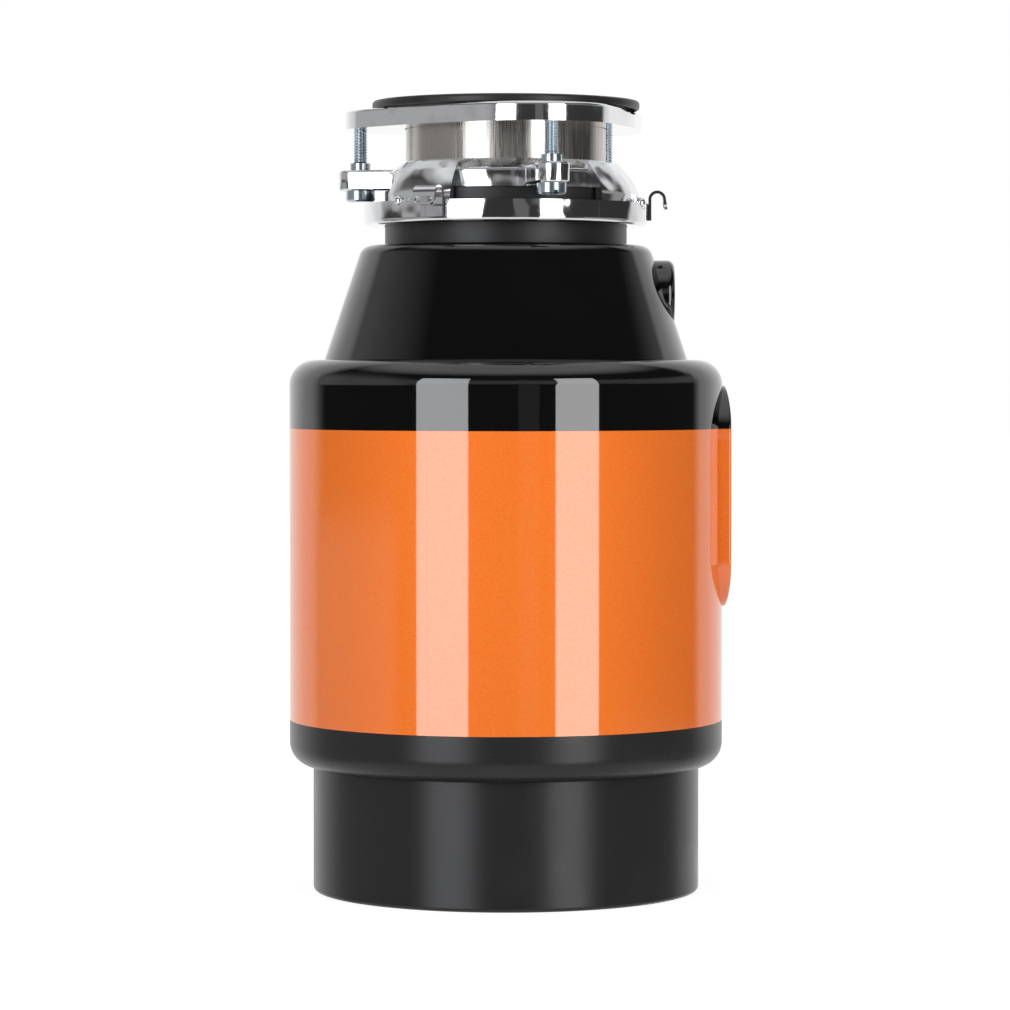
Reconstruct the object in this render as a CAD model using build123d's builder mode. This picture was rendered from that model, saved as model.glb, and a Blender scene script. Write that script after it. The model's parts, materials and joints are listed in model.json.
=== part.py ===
from build123d import *
import os
from math import cos, radians, sin, sqrt

# Kitchen waste disposer with a three-screw sink mount. Sizes are millimetres and degrees.
# The origin is the centre of the flat underside, +Z is up and +X points out of the discharge outlet.
# Angles run counter-clockwise from +X, seen from above.

os.makedirs("parts", exist_ok=True)

# Clearances
seat_clearance = 0.05
running_clearance = 0.04
slide_clearance = 0.3
free_clearance = 0.4

# Outer shells
body_radius = 95.0
shell_wall = 2.4
sleeve_wall = 1.2
sleeve_height = 127.6
band_height = 30.0
shoulder_fillet = 11.0
shoulder_width = 15.4
cone_top_radius = 62.9
cone_height = 49.9
cone_top_fillet = 5.5
seam_groove_width = 0.6
seam_groove_depth = 0.5
seam_groove_offset = 1.4
spigot_height = 6.0
spigot_wall = 2.4
tray_height = 20.2
tray_floor = 3.0
tray_fillet = 10.5
tray_hole_inset = 12.0
base_inset = 10.3
base_height = 55.0
base_floor = 3.0
base_wall = 2.4
base_fillet = 2.0
base_ledge_width = 3.0
base_ledge_height = 2.0
foam_clearance = 0.6

# Discharge pad and outlet, facing +X
pad_width = 50.0
pad_height = 97.0
pad_rise = 2.8
pad_lip = 1.2
pad_end_run = 16.0
pad_fillet = 1.0
pad_hollow_inset = 7.0
outlet_drop = 29.8
outlet_radius = 19.0
outlet_wall = 3.0
outlet_bolt_inset = 12.5
outlet_bolt_hole = 3.2
outlet_flange_thickness = 2.4
outlet_gasket_thickness = 1.6

# Dishwasher inlet, facing +X on the cone
inlet_rise = 28.2
inlet_boss_radius = 15.4
inlet_boss_rise = 3.6
inlet_boss_fillet = 3.2
inlet_radius = 8.5
inlet_wall = 2.2
inlet_recess = 1.8
inlet_plug_thickness = 3.0
inlet_depth = 12.0
inlet_groove_width = 1.5
inlet_groove_depth = 0.8
inlet_channel_radius = 7.0

# Sink mount, from the neck up to the sink
neck_gap = 8.5
collar_gap = 0.5
collar_leg_gap = 1.4
collar_top_height = 25.3
collar_bead_gap = 1.3
collar_bead_height = 2.4
collar_ledge_reach = 3.0
lock_foot_gap = 0.6
lock_wall = 1.5
lock_height = 9.7
lock_web = 2.0
lock_fillet = 2.4
lock_foot_height = 1.6
lock_foot_reach = 1.6
lock_ramp_span = 40.0
lock_foot_span = 24.0
lock_stop_span = 5.0
lock_stop_gap = 0.5
lock_nub_radius = 2.2
lock_nub_angle = -18.0
ear_strip = 1.3
ear_width = 11.0
ear_bend_radius = 3.2
ear_weld_height = 9.3
ear_flap_drop = 4.6
ear_flap_flare = 0.8
ear_slot_length = 8.4
ear_slot_height = 2.8
ear_flap_fillet = 3.0
window_height = 5.9
dome_proud = 7.6
dome_rim_inset = 6.6
dome_wall = 3.0
dome_height = 12.2
dome_slope_drop = 4.6
dome_corner_fillet = 2.0
leg_proud = 7.2
leg_wall = 4.2
leg_crest_drop = 0.9
leg_crest_inset = 1.8
leg_bulge_inset = 3.6
leg_bulge_rise = 4.6
leg_shoulder_drop = 2.8
leg_start = -17.0
leg_end = 19.0
index_leg_extra = 15.0
screw_count = 3
screw_angle = -73.0
screw_offset = 14.6
screw_radius = 3.15
screw_head_radius = 6.4
screw_head_height = 4.7
screw_head_chamfer = 0.8
screw_slot_width = 1.6
screw_slot_depth = 1.8
lug_ear_radius = 6.8
lug_ear_end = 9.6
lug_ear_drop = 11.7
lug_ear_height = 9.1
lug_ear_fillet = 1.3
screw_collar_radius = 4.5
screw_collar_height = 3.1
flange_radius = 43.8
flange_wall = 1.6
snap_groove_depth = 0.6
snap_height = 1.8
snap_width = 3.6
snap_rise = 3.4
snap_gap_angle = 12.0
screw_reach = 14.7
backup_radius = 57.0
backup_height = 8.1
backup_bore_clearance = 0.5
backup_lobe_end = 5.5
backup_lobe_radius = 36.0
backup_edge_fillet = 1.5
backup_scallop_depth = 2.4
backup_scallop_width = 46.0
backup_seat_width = 8.0
gasket_radius = 58.5
gasket_height = 4.0
gasket_edge = 1.4
lip_radius = 54.0
lip_height = 1.4
lip_fillet = 1.1
guard_wall = 2.0
guard_height = 14.0
guard_disc = 2.5
guard_hole_radius = 9.0
guard_slit_count = 8
guard_slit_width = 1.0
guard_slit_reach = 34.0

# Grinding end
throat_step = 0.2
chamber_wall = 3.5
chamber_inset = 21.0
chamber_straight = 34.0
chamber_neck_below = 10.0
chamber_neck_above = 17.3
neck_bead_reach = 2.0
neck_bead_height = 3.0
chamber_flange = 4.0
chamber_drop = 4.8
grind_ring_wall = 3.45
grind_ring_height = 18.0
grind_notch_count = 24
grind_notch_width = 5.0
grind_notch_depth = 1.6
grind_notch_height = 9.0
turntable_gap = 0.7
turntable_rise = 2.0
turntable_thickness = 3.0
turntable_vane_count = 4
turntable_vane_height = 5.0
turntable_vane_width = 3.0
turntable_vane_inset = 6.0
turntable_hub_radius = 14.0
turntable_hub_height = 10.0
turntable_hole_count = 10
turntable_hole_radius = 3.0
turntable_hole_inset = 11.8
lug_inset = 22.8
lug_length = 19.5
lug_hub_radius = 8.0
lug_nose_radius = 6.0
lug_height = 6.0
lug_step_height = 4.0
lug_pin_radius = 4.0
lug_pin_head_radius = 6.0
lug_pin_head_height = 2.0
table_nut_radius = 10.0
table_nut_height = 6.0
drain_height = 48.0
drain_wall = 4.0
drain_floor = 4.0
drain_ledge = 0.5
drain_hub_radius = 20.0
drain_hub_height = 26.0
seal_radius = 14.0
seal_height = 8.0

# Motor
frame_gap = 2.8
end_frame_thickness = 8.0
lower_frame_thickness = 10.0
frame_hub_radius = 19.0
upper_hub_drop = 14.0
lower_hub_drop = 10.0
lower_hub_rise = 2.0
bearing_radius = 14.0
bearing_height = 16.0
bolt_inset = 5.0
bolt_count = 4
bolt_angle = 45.0
bolt_radius = 2.5
bolt_head_radius = 4.5
bolt_head_height = 4.0
can_wall = 1.4
can_bolt_gap = 3.6
shaft_radius = 8.0
shaft_top_radius = 6.5
shaft_tail_radius = 6.0
spacer_wall = 4.0
stator_band = 38.5
air_gap = 0.6
stack_height = 46.0
stack_lift = 12.0
end_ring_inset = 2.0
end_ring_gap = 8.0
end_ring_height = 6.0
slot_count = 24
slot_width = 5.0
slot_mouth = 2.0
slot_depth = 18.0
slot_lip = 3.0
winding_inner_gap = 5.4
winding_outer_gap = 8.5
winding_height = 9.0
winding_fillet = 3.5
jam_socket_radius = 9.0
jam_socket_bottom = 5.0
jam_socket_top = 34.0
jam_hex_flats = 8.0
jam_hex_depth = 13.0

# Electrics in the base
jam_hole_radius = 11.0
post_inset = 12.3
post_count = 3
post_angle = 90.0
post_radius = 7.0
base_screw_radius = 2.2
base_screw_head_radius = 4.2
base_screw_head_height = 3.5
base_screw_cross = 5.0
base_screw_recess = 1.0
base_screw_grip = 5.0
capacitor_circle = 50.0
capacitor_angle = 30.0
capacitor_radius = 18.0
capacitor_height = 42.0
capacitor_fillet = 1.5
clamp_wall = 1.5
clamp_height = 9.0
clamp_rise = 14.0
clamp_leg_width = 10.0
reset_circle = 48.0
reset_angle = -90.0
button_radius = 5.0
button_recess = 0.8
button_height = 8.5
button_collar_radius = 6.4
button_collar_height = 2.0
button_travel = 3.0
protector_length = 26.0
protector_width = 22.0
protector_height = 26.0
terminal_circle = 54.0
terminal_angle = -123.0
terminal_length = 28.0
terminal_width = 15.0
terminal_height = 14.0
terminal_count = 3
terminal_hole_radius = 2.4
terminal_pitch = 8.5
hatch_circle = 51.0
hatch_angle = 150.0
hatch_length = 38.0
hatch_width = 26.0
hatch_thickness = 1.5
hatch_rim = 5.0
hatch_screw_radius = 1.4
hatch_screw_head = 2.6
cable_circle = 56.0
cable_angle = -168.0
cable_radius = 5.0
cable_bush_wall = 3.0
cable_bush_recess = 0.8
cable_bush_height = 9.0
cable_bush_flange = 3.0
cable_bush_flange_height = 2.5

# Heights
tray_floor_top = base_height + tray_floor
sleeve_bottom = base_height + tray_height
sleeve_top = sleeve_bottom + sleeve_height
shoulder_top = sleeve_top + band_height
cover_top = shoulder_top + cone_height
lower_frame_top = tray_floor_top + lower_frame_thickness
chamber_bottom = sleeve_top - chamber_drop
drain_bottom = chamber_bottom - drain_height
upper_frame_bottom = drain_bottom - end_frame_thickness
outlet_height = sleeve_top - outlet_drop
inlet_height = shoulder_top + inlet_rise
chamber_straight_top = chamber_bottom + chamber_straight
chamber_cone_top = cover_top - chamber_neck_below
neck_top = cover_top + chamber_neck_above
lock_bottom = cover_top + neck_gap
lock_top = lock_bottom + lock_height
bead_bottom = lock_bottom + lock_web + free_clearance
bead_top = bead_bottom + collar_bead_height
foot_bottom = bead_top + free_clearance
foot_top = foot_bottom + lock_foot_height
ramp_bottom = foot_top + free_clearance
collar_top = cover_top + collar_top_height
dome_bottom = lock_top + window_height
collar_step = dome_bottom - free_clearance
dome_top = dome_bottom + dome_height
snap_bottom = collar_top + snap_rise
snap_top = snap_bottom + snap_height
lug_ear_bottom = dome_top - lug_ear_drop
lug_ear_top = lug_ear_bottom + lug_ear_height
screw_head_bottom = lug_ear_bottom - screw_head_height
backup_bottom = dome_top + screw_reach
backup_top = backup_bottom + backup_height
sink_face = backup_top + gasket_height
table_bottom = chamber_bottom + turntable_rise
table_top = table_bottom + turntable_thickness
stack_bottom = lower_frame_top + stack_lift
stack_top = stack_bottom + stack_height
lower_bearing_bottom = lower_frame_top + lower_hub_rise - bearing_height
lower_bearing_top = lower_frame_top + lower_hub_rise
upper_bearing_bottom = upper_frame_bottom - upper_hub_drop

# Radii
cone_foot_radius = body_radius - shoulder_width
base_radius = body_radius - base_inset
pad_face = body_radius + pad_rise
dome_radius = flange_radius + dome_proud
leg_radius = dome_radius + leg_proud
dome_rim_radius = dome_radius - dome_rim_inset
collar_radius = leg_radius - leg_wall - collar_leg_gap
collar_head_radius = dome_radius - dome_wall - collar_gap
lock_foot_radius = leg_radius + lock_foot_reach
lock_ramp_radius = leg_radius + free_clearance
lock_inner = lock_foot_radius + lock_foot_gap
lock_radius = lock_inner + lock_wall
collar_bead_radius = lock_inner - collar_bead_gap
screw_circle = dome_radius + screw_offset
lug_ear_tip = screw_circle + lug_ear_end
backup_lobe_reach = screw_circle + backup_lobe_end
sleeve_inner = body_radius - sleeve_wall
spigot_outer = sleeve_inner - seat_clearance
frame_radius = sleeve_inner - frame_gap
bolt_circle = frame_radius - bolt_inset
can_outer = bolt_circle - bolt_radius - can_bolt_gap
can_inner = can_outer - can_wall
rotor_radius = can_inner - stator_band
stator_inner = rotor_radius + air_gap
end_ring_outer = rotor_radius - end_ring_inset
end_ring_inner = bearing_radius + end_ring_gap
winding_inner = stator_inner + winding_inner_gap
winding_outer = can_inner - winding_outer_gap
chamber_radius = frame_radius - chamber_inset
grind_ring_outer = chamber_radius - seat_clearance
grind_ring_inner = grind_ring_outer - grind_ring_wall
turntable_radius = grind_ring_inner - turntable_gap
turntable_hole_circle = turntable_radius - turntable_hole_inset
lug_circle = turntable_radius - lug_inset
drain_radius = grind_ring_inner - drain_ledge
throat_radius = flange_radius - flange_wall - throat_step
neck_radius = throat_radius + chamber_wall
neck_bead_radius = neck_radius + neck_bead_reach
collar_ledge_radius = throat_radius - collar_ledge_reach
flange_bore = flange_radius - flange_wall
snap_groove_radius = flange_radius - snap_groove_depth
base_inner = base_radius - base_wall
cone_slope = (cone_foot_radius - cone_top_radius) / cone_height
cone_wall = shell_wall * sqrt(1 + cone_slope**2)
cone_inner_foot = cone_foot_radius - cone_wall
cone_inner_top = cone_inner_foot - cone_slope * (cone_height - shell_wall)
inlet_boss_face = cone_foot_radius - cone_slope * inlet_rise + inlet_boss_rise
inlet_face = inlet_boss_face - inlet_recess
inlet_outer = inlet_radius + inlet_wall
post_circle = base_inner - post_inset
tray_hole_radius = post_circle - tray_hole_inset
pad_inner_face = pad_face - shell_wall
outlet_flange_face = pad_inner_face - outlet_gasket_thickness
outlet_flange_back = outlet_flange_face - outlet_flange_thickness
leg_middle = screw_angle + 180.0 / screw_count
foot_middle = leg_middle + (leg_start + leg_end) / 2
outlet_bolt_spacing = pad_height - 2 * outlet_bolt_inset
outlet_bolt_places = [
    (0, outlet_height + outlet_bolt_spacing / 2),
    (0, outlet_height - outlet_bolt_spacing / 2),
]
foot_angles = [foot_middle + 360.0 / screw_count * index for index in range(screw_count)]
screw_angles = [screw_angle + 360.0 / screw_count * index for index in range(screw_count)]


def pad_end(side):
    """Waste beyond the rounded upper (1) or lower (-1) end of the discharge pad."""
    tip = outlet_height + side * pad_height / 2
    start = tip - side * pad_end_run
    with BuildLine() as outline:
        TangentArc((pad_face, start), (body_radius + pad_lip, tip), tangent=(0, side))
        Polyline(
            (body_radius + pad_lip, tip),
            (pad_face + pad_rise, tip),
            (pad_face + pad_rise, start),
            (pad_face, start),
        )
    make_face(outline.edges())


def pad_rim(candidates):
    """Edges where the face of the discharge pad meets its side wall."""
    proud = candidates.filter_by(lambda e: e.center().X > body_radius + pad_lip / 2)
    return proud.filter_by(lambda e: e.bounding_box().size.Z > pad_lip)


def polar(radius, angle):
    """Point at a radius and angle on a horizontal plane."""
    return (radius * cos(radians(angle)), radius * sin(radians(angle)))


def sector(inner, outer, middle, span):
    """Add an annular sector to the open sketch."""
    with BuildLine() as outline:
        outer_arc = CenterArc((0, 0), outer, middle - span / 2, span)
        inner_arc = CenterArc((0, 0), inner, middle - span / 2, span)
        Line(outer_arc @ 0, inner_arc @ 0)
        Line(outer_arc @ 1, inner_arc @ 1)
    make_face(outline.edges())


def annulus(inner, outer):
    """Add a flat ring to the open sketch."""
    Circle(outer)
    Circle(inner, mode=Mode.SUBTRACT)


def corner(sketch, x, y):
    """Vertex of a sketch that lies closest to a local point."""
    return sketch.vertices().sort_by_distance((x, y, 0))[0]


# Sink mount

with BuildPart() as sink_flange:
    with BuildSketch(Plane.XZ) as flange_section:
        with BuildLine():
            Polyline(
                (flange_bore, collar_top),
                (flange_radius, collar_top),
                (flange_radius, snap_bottom),
                (snap_groove_radius, snap_bottom),
                (snap_groove_radius, snap_top),
                (flange_radius, snap_top),
                (flange_radius, sink_face - lip_height),
                (lip_radius, sink_face - lip_height),
                (lip_radius, sink_face),
                (flange_bore, sink_face),
                close=True,
            )
        make_face()
        fillet(corner(flange_section, flange_bore, sink_face), lip_fillet)
    revolve(axis=Axis.Z)

with BuildPart() as sink_gasket:
    with BuildSketch(Plane.XZ) as gasket_section:
        with BuildLine():
            Polyline(
                (flange_radius + slide_clearance, backup_top),
                (gasket_radius, backup_top),
                (gasket_radius, sink_face),
                (lip_radius + seat_clearance, sink_face),
                (lip_radius + seat_clearance, sink_face - lip_height),
                (flange_radius + slide_clearance, sink_face - lip_height),
                close=True,
            )
        make_face()
        fillet(corner(gasket_section, gasket_radius, sink_face), gasket_edge)
        fillet(corner(gasket_section, gasket_radius, backup_top), gasket_edge)
    revolve(axis=Axis.Z)

backup_scallop_radius = (backup_scallop_width**2 / 4 + backup_scallop_depth**2) / (2 * backup_scallop_depth)

with BuildPart() as backup_flange:
    with BuildSketch(Plane.XY.offset(backup_bottom)):
        Circle(backup_radius)
        with PolarLocations(backup_lobe_reach - backup_lobe_radius, screw_count, start_angle=screw_angle):
            Circle(backup_lobe_radius)
        make_hull()
    extrude(amount=backup_height)
    fillet(faces().sort_by(Axis.Z)[-1].outer_wire().edges(), backup_edge_fillet)
    with BuildSketch(Plane.XY.offset(backup_bottom)):
        Circle(flange_radius + backup_bore_clearance)
    extrude(amount=backup_height, mode=Mode.SUBTRACT)
    for angle in screw_angles:
        foot = polar(flange_radius + backup_seat_width, angle + 180.0 / screw_count)
        outward = polar(1, angle + 180.0 / screw_count)
        scallop_centre = backup_top - backup_scallop_depth + backup_scallop_radius
        with BuildSketch(Plane(origin=(*foot, scallop_centre), x_dir=(0, 0, 1), z_dir=(*outward, 0))):
            Circle(backup_scallop_radius)
        extrude(amount=backup_lobe_reach, mode=Mode.SUBTRACT)

with BuildPart() as clamp_screws:
    with BuildSketch(Plane.XY.offset(screw_head_bottom)):
        with PolarLocations(screw_circle, screw_count, start_angle=screw_angle):
            Circle(screw_head_radius)
    extrude(amount=screw_head_height)
    chamfer(edges().group_by(Axis.Z)[0], screw_head_chamfer)
    with BuildSketch(Plane.XY.offset(screw_head_bottom)):
        with PolarLocations(screw_circle, screw_count, start_angle=screw_angle):
            Rectangle(2 * screw_head_radius, screw_slot_width)
    extrude(amount=screw_slot_depth, mode=Mode.SUBTRACT)
    with BuildSketch(Plane.XY.offset(lug_ear_bottom)):
        with PolarLocations(screw_circle, screw_count, start_angle=screw_angle):
            Circle(screw_radius)
    extrude(amount=backup_bottom - lug_ear_bottom)

with BuildPart() as screw_collars:
    with BuildSketch(Plane.XY.offset(lug_ear_top)):
        with PolarLocations(screw_circle, screw_count, start_angle=screw_angle):
            Circle(screw_collar_radius)
            Circle(screw_radius + seat_clearance, mode=Mode.SUBTRACT)
    extrude(amount=screw_collar_height)

with BuildPart() as snap_ring:
    with BuildSketch(Plane.XY.offset(snap_bottom)):
        sector(
            snap_groove_radius + seat_clearance,
            snap_groove_radius + snap_width,
            leg_middle + 180.0,
            360.0 - snap_gap_angle,
        )
    extrude(amount=snap_height)

lug_ear_root = dome_radius - dome_wall - lug_ear_radius
lug_ear_span = lug_ear_tip - lug_ear_radius - lug_ear_root
leg_span = leg_end - leg_start
leg_spans = [leg_span + index_leg_extra] + [leg_span] * (screw_count - 1)

with BuildPart() as mounting_ring:
    with BuildSketch(Plane.XY.offset(lug_ear_bottom)):
        with PolarLocations(lug_ear_root + lug_ear_span / 2, screw_count, start_angle=screw_angle):
            SlotCenterToCenter(lug_ear_span, 2 * lug_ear_radius)
    extrude(amount=lug_ear_height)
    fillet(faces().group_by(Axis.Z)[0].edges() + faces().group_by(Axis.Z)[-1].edges(), lug_ear_fillet)
    with BuildSketch(Plane.XZ) as dome_section:
        with BuildLine():
            Polyline(
                (0, dome_bottom),
                (dome_radius, dome_bottom),
                (dome_radius, dome_top - dome_slope_drop),
                (dome_rim_radius, dome_top),
                (0, dome_top),
                close=True,
            )
        make_face()
        fillet(corner(dome_section, dome_radius, dome_top - dome_slope_drop), dome_corner_fillet)
    revolve(axis=Axis.Z)
    for angle, span in zip(foot_angles, leg_spans):
        leg_edge = angle + leg_span / 2 - span
        leg_plane = Plane(
            origin=(0, 0, 0),
            x_dir=(*polar(1, leg_edge), 0),
            z_dir=(*polar(1, leg_edge - 90.0), 0),
        )
        with BuildSketch(leg_plane):
            with BuildLine():
                ThreePointArc(
                    (dome_radius - leg_crest_inset, dome_top - leg_crest_drop),
                    (leg_radius - leg_bulge_inset, dome_bottom + leg_bulge_rise),
                    (leg_radius, dome_bottom - leg_shoulder_drop),
                )
                Polyline(
                    (leg_radius, dome_bottom - leg_shoulder_drop),
                    (leg_radius, foot_bottom),
                    (leg_radius - leg_wall, foot_bottom),
                    (leg_radius - leg_wall, dome_bottom),
                    (dome_radius - dome_wall / 2, dome_bottom),
                    (dome_radius - dome_wall / 2, dome_top - dome_slope_drop),
                    (dome_radius - leg_crest_inset, dome_top - leg_crest_drop),
                )
            make_face()
        revolve(axis=Axis.Z, revolution_arc=span)
    with BuildSketch(Plane.XY.offset(foot_bottom)):
        for foot_angle in foot_angles:
            sector(leg_radius - leg_wall / 2, lock_foot_radius, foot_angle, lock_foot_span)
    extrude(amount=lock_foot_height)
    with BuildSketch(Plane.XZ):
        with BuildLine():
            Polyline(
                (0, dome_bottom),
                (dome_radius - dome_wall, dome_bottom),
                (dome_radius - dome_wall, collar_top + free_clearance),
                (snap_groove_radius + snap_width + free_clearance, snap_top + slide_clearance),
                (flange_radius + slide_clearance, snap_top + slide_clearance),
                (flange_radius + slide_clearance, dome_top),
                (0, dome_top),
                close=True,
            )
        make_face()
    revolve(axis=Axis.Z, mode=Mode.SUBTRACT)
    with BuildSketch(Plane.XY.offset(lug_ear_bottom)):
        with PolarLocations(screw_circle, screw_count, start_angle=screw_angle):
            Circle(screw_radius + seat_clearance)
    extrude(amount=lug_ear_height, mode=Mode.SUBTRACT)

with BuildPart() as lock_ring:
    with BuildSketch(Plane.XY.offset(lock_bottom)):
        annulus(collar_radius + free_clearance, lock_radius)
    extrude(amount=lock_web)
    with BuildSketch(Plane.XY.offset(lock_bottom)):
        annulus(lock_inner, lock_radius)
    extrude(amount=lock_height)
    fillet(edges().group_by(Axis.Z)[0].sort_by(SortBy.LENGTH)[-1], lock_fillet)
    with BuildSketch(Plane.XY.offset(ramp_bottom)):
        for foot_angle in foot_angles:
            sector(lock_ramp_radius, lock_radius - lock_wall / 2, foot_angle, lock_ramp_span)
    extrude(amount=lock_top - ramp_bottom)
    stop_offset = lock_foot_span / 2 + lock_stop_gap + lock_stop_span / 2
    with BuildSketch(Plane.XY.offset(foot_bottom)):
        for foot_angle in foot_angles:
            sector(lock_ramp_radius, lock_radius - lock_wall / 2, foot_angle - stop_offset, lock_stop_span)
    extrude(amount=ramp_bottom - foot_bottom)
    with Locations(Plane.XY.offset(lock_top)):
        with PolarLocations(lock_radius - lock_wall / 2, screw_count, start_angle=lock_nub_angle):
            Sphere(lock_nub_radius)

ear_bottom = lock_bottom + lock_fillet
ear_bend = ear_bottom + ear_weld_height
ear_line = lock_radius + ear_strip / 2
ear_flap_line = ear_line + 2 * ear_bend_radius

with BuildPart() as lock_ears:
    for index in range(screw_count):
        ear_angle = 360.0 / screw_count * index
        ear_plane = Plane(
            origin=(0, 0, 0),
            x_dir=(*polar(1, ear_angle), 0),
            z_dir=(*polar(1, ear_angle - 90.0), 0),
        )
        with BuildSketch(ear_plane):
            with BuildLine():
                Line((ear_line, ear_bottom), (ear_line, ear_bend))
                CenterArc((ear_line + ear_bend_radius, ear_bend), ear_bend_radius, 0, 180)
                Line(
                    (ear_flap_line, ear_bend),
                    (ear_flap_line + ear_flap_flare, ear_bend - ear_flap_drop),
                )
            trace(line_width=ear_strip)
        extrude(amount=ear_width / 2, both=True)
        slot_plane = Plane(
            origin=(*polar(ear_line + ear_bend_radius, ear_angle), ear_bend - ear_flap_drop / 2),
            x_dir=(*polar(1, ear_angle + 90.0), 0),
            z_dir=(*polar(1, ear_angle), 0),
        )
        with BuildSketch(slot_plane):
            SlotOverall(ear_slot_length, ear_slot_height)
        extrude(amount=3 * ear_bend_radius, mode=Mode.SUBTRACT)
    flap_ends = edges().filter_by(lambda e: abs(e.center().Z - ear_bend + ear_flap_drop) < ear_strip / 2)
    fillet(flap_ends.filter_by(lambda e: e.length < 2 * ear_strip), ear_flap_fillet)

with BuildPart() as mounting_collar:
    with BuildSketch(Plane.XZ):
        with BuildLine():
            Polyline(
                (neck_radius + seat_clearance, cover_top),
                (collar_radius, cover_top),
                (collar_radius, bead_bottom),
                (collar_bead_radius, bead_bottom),
                (collar_bead_radius, bead_top),
                (collar_radius, bead_top),
                (collar_radius, collar_step),
                (collar_head_radius, collar_step),
                (collar_head_radius, collar_top),
                (collar_ledge_radius, collar_top),
                (collar_ledge_radius, neck_top),
                (neck_bead_radius + seat_clearance, neck_top),
                (neck_bead_radius + seat_clearance, neck_top - neck_bead_height),
                (neck_radius + seat_clearance, neck_top - neck_bead_height),
                close=True,
            )
        make_face()
    revolve(axis=Axis.Z)

with BuildPart() as splash_guard:
    with BuildSketch(Plane.XY.offset(collar_top)):
        Circle(flange_bore - slide_clearance)
    extrude(amount=guard_height)
    with BuildSketch(Plane.XY.offset(collar_top + guard_disc)):
        Circle(flange_bore - slide_clearance - guard_wall)
    extrude(amount=guard_height - guard_disc, mode=Mode.SUBTRACT)
    with BuildSketch(Plane.XY.offset(collar_top)):
        Circle(guard_hole_radius)
        with PolarLocations(guard_slit_reach / 2, guard_slit_count):
            Rectangle(guard_slit_reach, guard_slit_width)
    extrude(amount=guard_disc, mode=Mode.SUBTRACT)

# Outer shells

pad_hollow_height = pad_height - 2 * pad_hollow_inset
pad_hollow_width = pad_width - 2 * shell_wall

with BuildPart() as top_cover:
    with BuildSketch(Plane.XZ) as cover_section:
        with BuildLine():
            Polyline(
                (0, shoulder_top),
                (cone_foot_radius, shoulder_top),
                (cone_top_radius, cover_top),
                (0, cover_top),
                close=True,
            )
        make_face()
        fillet(corner(cover_section, cone_top_radius, cover_top), cone_top_fillet)
    revolve(axis=Axis.Z)
    with BuildSketch(Plane.XZ) as boss_section:
        with Locations((0, inlet_height)):
            Rectangle(inlet_boss_face, inlet_boss_radius, align=(Align.MIN, Align.MIN))
        fillet(corner(boss_section, inlet_boss_face, inlet_height + inlet_boss_radius), inlet_boss_fillet)
    revolve(axis=Axis((0, 0, inlet_height), (1, 0, 0)))
    with BuildSketch(Plane.XZ):
        with BuildLine():
            Polyline(
                (0, shoulder_top),
                (cone_inner_foot, shoulder_top),
                (cone_inner_top, cover_top - shell_wall),
                (0, cover_top - shell_wall),
                close=True,
            )
        make_face()
    revolve(axis=Axis.Z, mode=Mode.SUBTRACT)
    with BuildSketch(Plane.XY.offset(cover_top - shell_wall)):
        Circle(neck_radius + slide_clearance)
    extrude(amount=shell_wall, mode=Mode.SUBTRACT)
    with BuildSketch(Plane.YZ):
        with Locations((0, inlet_height)):
            Circle(inlet_outer + slide_clearance)
    extrude(amount=inlet_boss_face, mode=Mode.SUBTRACT)

with BuildPart() as cover_band:
    with BuildSketch(Plane.XZ) as band_section:
        with BuildLine():
            Polyline(
                (0, sleeve_top),
                (body_radius, sleeve_top),
                (body_radius, shoulder_top),
                (0, shoulder_top),
                close=True,
            )
        make_face()
        fillet(corner(band_section, body_radius, shoulder_top), shoulder_fillet)
    revolve(axis=Axis.Z)
    with BuildSketch(Plane.YZ):
        with Locations((0, outlet_height)):
            SlotOverall(pad_height, pad_width, rotation=90)
        with Locations((0, sleeve_top)):
            Rectangle(pad_width, pad_height, align=(Align.CENTER, Align.MAX), mode=Mode.SUBTRACT)
    extrude(amount=pad_face)
    with BuildSketch(Plane.XZ):
        pad_end(1)
    extrude(amount=pad_width, both=True, mode=Mode.SUBTRACT)
    fillet(pad_rim(edges()), pad_fillet)
    with BuildSketch(Plane.XZ) as band_hollow:
        with BuildLine():
            Polyline(
                (0, sleeve_top),
                (body_radius - shell_wall, sleeve_top),
                (body_radius - shell_wall, shoulder_top - shell_wall),
                (0, shoulder_top - shell_wall),
                close=True,
            )
        make_face()
        hollow_corner = corner(band_hollow, body_radius - shell_wall, shoulder_top - shell_wall)
        fillet(hollow_corner, shoulder_fillet - shell_wall)
    revolve(axis=Axis.Z, mode=Mode.SUBTRACT)
    with BuildSketch(Plane.XY.offset(sleeve_top - spigot_height)):
        annulus(spigot_outer - spigot_wall, spigot_outer)
    extrude(amount=spigot_height)
    with BuildSketch(Plane.XY.offset(shoulder_top - shell_wall)):
        Circle(cone_inner_foot)
    extrude(amount=shell_wall, mode=Mode.SUBTRACT)
    with BuildSketch(Plane.XY.offset(shoulder_top - seam_groove_depth)):
        groove_inner = cone_foot_radius + seam_groove_offset
        annulus(groove_inner, groove_inner + seam_groove_width)
    extrude(amount=seam_groove_depth, mode=Mode.SUBTRACT)
    with BuildSketch(Plane.YZ):
        with Locations((0, outlet_height)):
            SlotOverall(pad_hollow_height, pad_hollow_width, rotation=90)
    extrude(amount=pad_inner_face, mode=Mode.SUBTRACT)
    with BuildSketch(Plane.YZ):
        with Locations((0, outlet_height + outlet_bolt_spacing / 2)):
            Circle(outlet_bolt_hole)
    extrude(amount=pad_face, mode=Mode.SUBTRACT)

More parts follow.
